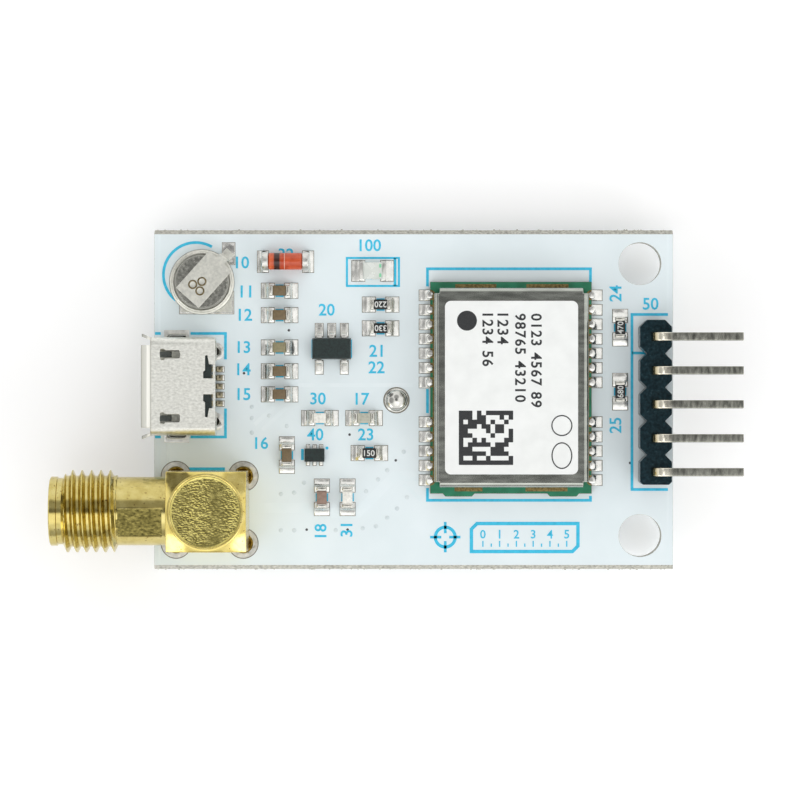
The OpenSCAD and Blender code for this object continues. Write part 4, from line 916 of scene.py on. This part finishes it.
piece_of("battery-gasket", gasket, gasket_plastic, "gasket_dark", "battery_gasket", smooth=False)
eased("battery_top_tab", strip_steel, "cell_steel", edge=0.025)
eased("battery_bottom_tab", strip_steel, "cell_steel", edge=0.025)
scorched = drifting("scorched weld", [(86, 74, 48), (140, 128, 98)], 8, (0.3, 0.45), 0.8)
welds = bmesh.new()
axis = Vector((math.cos(math.radians(STRIP_TURN)), math.sin(math.radians(STRIP_TURN))))
for turn in (0, 120, 240):
    spot = CELL - axis * WELD_BACK + Matrix.Rotation(math.radians(turn), 2) @ axis * WELD_SPREAD
    ring = arc(spot, WELD_RADIUS, 0, 360, 40)[:-1]
    ribbon(welds, ring, WELD_LINE, STRIP_TOP - 0.01, STRIP_TOP + 0.012, closed=True)
bmesh.ops.recalc_face_normals(welds, faces=welds.faces)
piece_of("weld-marks", welds, scorched, "cell_steel")


# Glass diode: a bead of orange glass drawn round two copper studs and a speck of silicon, with a black band
# at one end and a tinned cap on each end.
DIODE_LEFT, BAND_START, BAND_END, DIODE_RIGHT = -28.15, -27.72, -27.2, -25.55
RING_AT, RING_HALF = -26.9, 0.05
diode_glass = drifting("orange glass", [(176, 62, 32), (212, 92, 56)], 1.6, (0.06, 0.12))
amber, soot, pale = (226, 110, 66), (38, 26, 24), (236, 206, 190)
banded(diode_glass, "X", [
    (DIODE_LEFT, soot, 0.5), (DIODE_LEFT + 0.12, amber, 0.8), (BAND_START - 0.06, amber, 0.2),
    (BAND_START + 0.06, soot, 0.95), (BAND_END - 0.1, soot, 0.95), (BAND_END + 0.08, amber, 0.0),
    (RING_AT - RING_HALF, amber, 0.0), (RING_AT, pale, 0.9), (RING_AT + RING_HALF, amber, 0.0),
    (DIODE_RIGHT - 0.1, amber, 0.2), (DIODE_RIGHT, soot, 0.4),
])
eased("diode_glass", diode_glass, "diode_glass", edge=0.16, steps=5)
eased("diode_ends", tin, "tinned", edge=0.06, steps=3)
studs = drifting("copper studs", [(168, 92, 60), (206, 128, 88)], 6, (0.25, 0.4), 1.0)
silicon = drifting("silicon", [(60, 62, 68), (92, 94, 100)], 10, (0.2, 0.3))
eased("diode_slugs", studs, "copper")
eased("diode_die", silicon, "black_plastic", edge=0.01)


# Lamp: a light-giving chip under a milky cast lens on a white base, with a tinned terminal at each end.
# Two dabs of green paint on the lens show which way round it goes.
MARK_AT, MARK_APART, MARK_WIDE, MARK_LONG = 0.58, 0.36, 0.08, 0.14
lens = drifting("milky lens", [(228, 234, 226), (242, 246, 240)], 1.6, (0.2, 0.3))
lens.node_tree.nodes["Principled BSDF"].inputs["Transmission Weight"].default_value = 0.15
lamp_plastic = drifting("lamp base", [(222, 224, 214), (236, 237, 228)], 4, (0.4, 0.5))
eased("lamp_base", lamp_plastic, "lamp_white", edge=0.03)
eased("lamp_lens", lens, "lamp_plastic", edge=0.06, steps=3)
eased("lamp_die", ceramic, "copper", edge=0.01)
eased("lamp_terminals", tin, "tinned", edge=0.02)
lamp_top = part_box("lamp_lens")[1].z / MM
lamp_at = centre_of("lamp_lens")
green_paint = drifting("green polarity marks", [(96, 196, 140), (150, 220, 178)], 10, (0.4, 0.5))
marks = bmesh.new()
for side in (-1, 1):
    x, y = lamp_at.x + MARK_AT, lamp_at.y + side * MARK_APART
    bar(marks, x - MARK_WIDE, y - MARK_LONG, x + MARK_WIDE, y + MARK_LONG,
        lamp_top - 0.002, lamp_top + 0.006)
piece_of("lamp-marks", marks, green_paint, "lamp_plastic", smooth=False)


# Regulator and amplifier: chips moulded in black resin, on leads bent out and down from a tinned sheet.
# The leads are soldered flat on pads of the board, five of them on one chip and six on the other.
eased("regulator_body", moulding, "black_plastic", edge=0.05, steps=3)
eased("regulator_leads", tin, "tinned", edge=0.02)
eased("amplifier_body", moulding, "black_plastic", edge=0.04, steps=3)
eased("amplifier_leads", tin, "tinned", edge=0.015)


# Chip parts: fired ceramic blocks with tinned end caps. Capacitors are bare brown, inductors white, and
# resistors black glass on white with a plain number.
CHIP_TONES = {"capacitor": (122, 104, 74), "inductor": (254, 252, 244), "resistor": (30, 32, 33)}
ODD_TONES = {"capacitor_3": (150, 142, 108), "capacitor_6": (196, 196, 180), "capacitor_8": (158, 132, 118)}
CHIP_SLOTS = {"capacitor": "capacitor_brown", "inductor": "inductor_white", "resistor": "resistor_black"}
RESISTOR_NUMBERS = {"resistor_1": ("220", 180), "resistor_2": ("330", 180), "resistor_3": ("150", 0),
                    "resistor_4": ("470", 90), "resistor_5": ("680", 90)}
numbers_bm = bmesh.new()
for node in chip_nodes:
    kind = node.split("_")[0]
    tone = ODD_TONES.get(node, CHIP_TONES[kind])
    fired = drifting(node + " body", [[c * 0.86 for c in tone], tone], 5, (0.3, 0.45), 0.0, 0.004)
    eased(node, fired, CHIP_SLOTS[kind], edge=0.045, steps=3)
    if node in RESISTOR_NUMBERS:
        text, turn = RESISTOR_NUMBERS[node]
        middle = centre_of(node)
        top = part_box(node)[1].z / MM
        numeral(numbers_bm, text, (middle.x, middle.y), 0.46, top - 0.002, top + 0.008, turn)
white_ink = drifting("white ink", [(214, 216, 212), (232, 233, 229)], 8, (0.5, 0.6))
piece_of("resistor-numbers", numbers_bm, white_ink, "white_board", smooth=False)
cap_tin = drifting("chip end tin", [(196, 195, 187), (228, 226, 217)], 4, (0.14, 0.26), 1.0, 0.004)
eased("chip_end_caps", cap_tin, "tinned", edge=0.11, steps=4)


# Studio: a plain pale floor that glows faintly like a light table, soft light from large panels all round,
# and a camera straight above.
FLOOR_Z = -1.42
FLOOR_HALF = 700
CAMERA_HEIGHT = 300
PICTURE_WIDTH, PICTURE_X, PICTURE_Y = 60.606, -18.18, -0.03
floor_finish = drifting("pale floor", [(247, 247, 247), (249.3, 249.3, 249.3)], 0.01, (0.8, 0.9))
floor_glow = floor_finish.node_tree.nodes["Principled BSDF"].inputs
floor_glow["Emission Color"].default_value = (1, 1, 1, 1)
floor_glow["Emission Strength"].default_value = 0.14
floor_mesh = bmesh.new()
bmesh.ops.create_grid(floor_mesh, x_segments=1, y_segments=1, size=FLOOR_HALF,
                      matrix=Matrix.Translation((0, 0, FLOOR_Z)))
floor_data = bpy.data.meshes.new("floor")
floor_mesh.transform(Matrix.Scale(MM, 4))
floor_mesh.to_mesh(floor_data)
floor_mesh.free()
floor_data.materials.append(floor_finish)
floor = bpy.data.objects.new("floor", floor_data)
scene.collection.objects.link(floor)

world = bpy.data.worlds.new("studio")
scene.world = world
world.use_nodes = True
sky, wires = world.node_tree.nodes, world.node_tree.links
direction = sky.new("ShaderNodeTexCoord")


def panel(light, toward, lean, inner, outer, strength):
    """Lays a round patch of that strength over the light, leaning that far from straight above."""
    aim = sky.new("ShaderNodeVectorMath")
    aim.operation = "DOT_PRODUCT"
    lean, toward = math.radians(lean), math.radians(toward)
    level = math.sin(lean)
    aim.inputs[1].default_value = (level * math.cos(toward), level * math.sin(toward), math.cos(lean))
    edge = sky.new("ShaderNodeMapRange")
    edge.interpolation_type = "SMOOTHSTEP"
    edge.inputs["From Min"].default_value = math.cos(math.radians(outer))
    edge.inputs["From Max"].default_value = math.cos(math.radians(inner))
    patch = sky.new("ShaderNodeMix")
    patch.inputs["B"].default_value = strength
    wire(wires, (direction, "Generated", aim, 0), (aim, "Value", edge, "Value"),
         (edge, "Result", patch, "Factor"))
    wires.new(light, patch.inputs["A"])
    return patch.outputs["Result"]


even_light = sky.new("ShaderNodeValue")
even_light.outputs["Value"].default_value = 1.1
light = even_light.outputs["Value"]
for toward, lean, inner, outer, strength in (
    (180, 36, 14, 24, 0.45),
    (135, 60, 12, 22, 0.2),
    (45, 60, 12, 22, 0.6),
    (90, 24, 10, 20, 0.42),
    (270, 90, 20, 34, 0.5),
    (270, 24, 12, 22, 1.6),
    (225, 68, 9, 15, 3.2),
    (315, 68, 9, 15, 4.0),
    (90, 4, 7, 12, 0.2),
):
    light = panel(light, toward, lean, inner, outer, strength)
wires.new(light, sky["Background"].inputs["Strength"])
sky["Background"].inputs["Color"].default_value = (1, 1, 1, 1)
scene.view_settings.view_transform = "Standard"

camera = bpy.data.cameras.new("camera")
camera.sensor_width = 36
camera.lens = camera.sensor_width * CAMERA_HEIGHT / PICTURE_WIDTH
camera.clip_start = 0.01
viewpoint = bpy.data.objects.new("camera", camera)
viewpoint.location = (PICTURE_X * MM, PICTURE_Y * MM, (BOARD_TOP + CAMERA_HEIGHT) * MM)
scene.collection.objects.link(viewpoint)
scene.camera = viewpoint
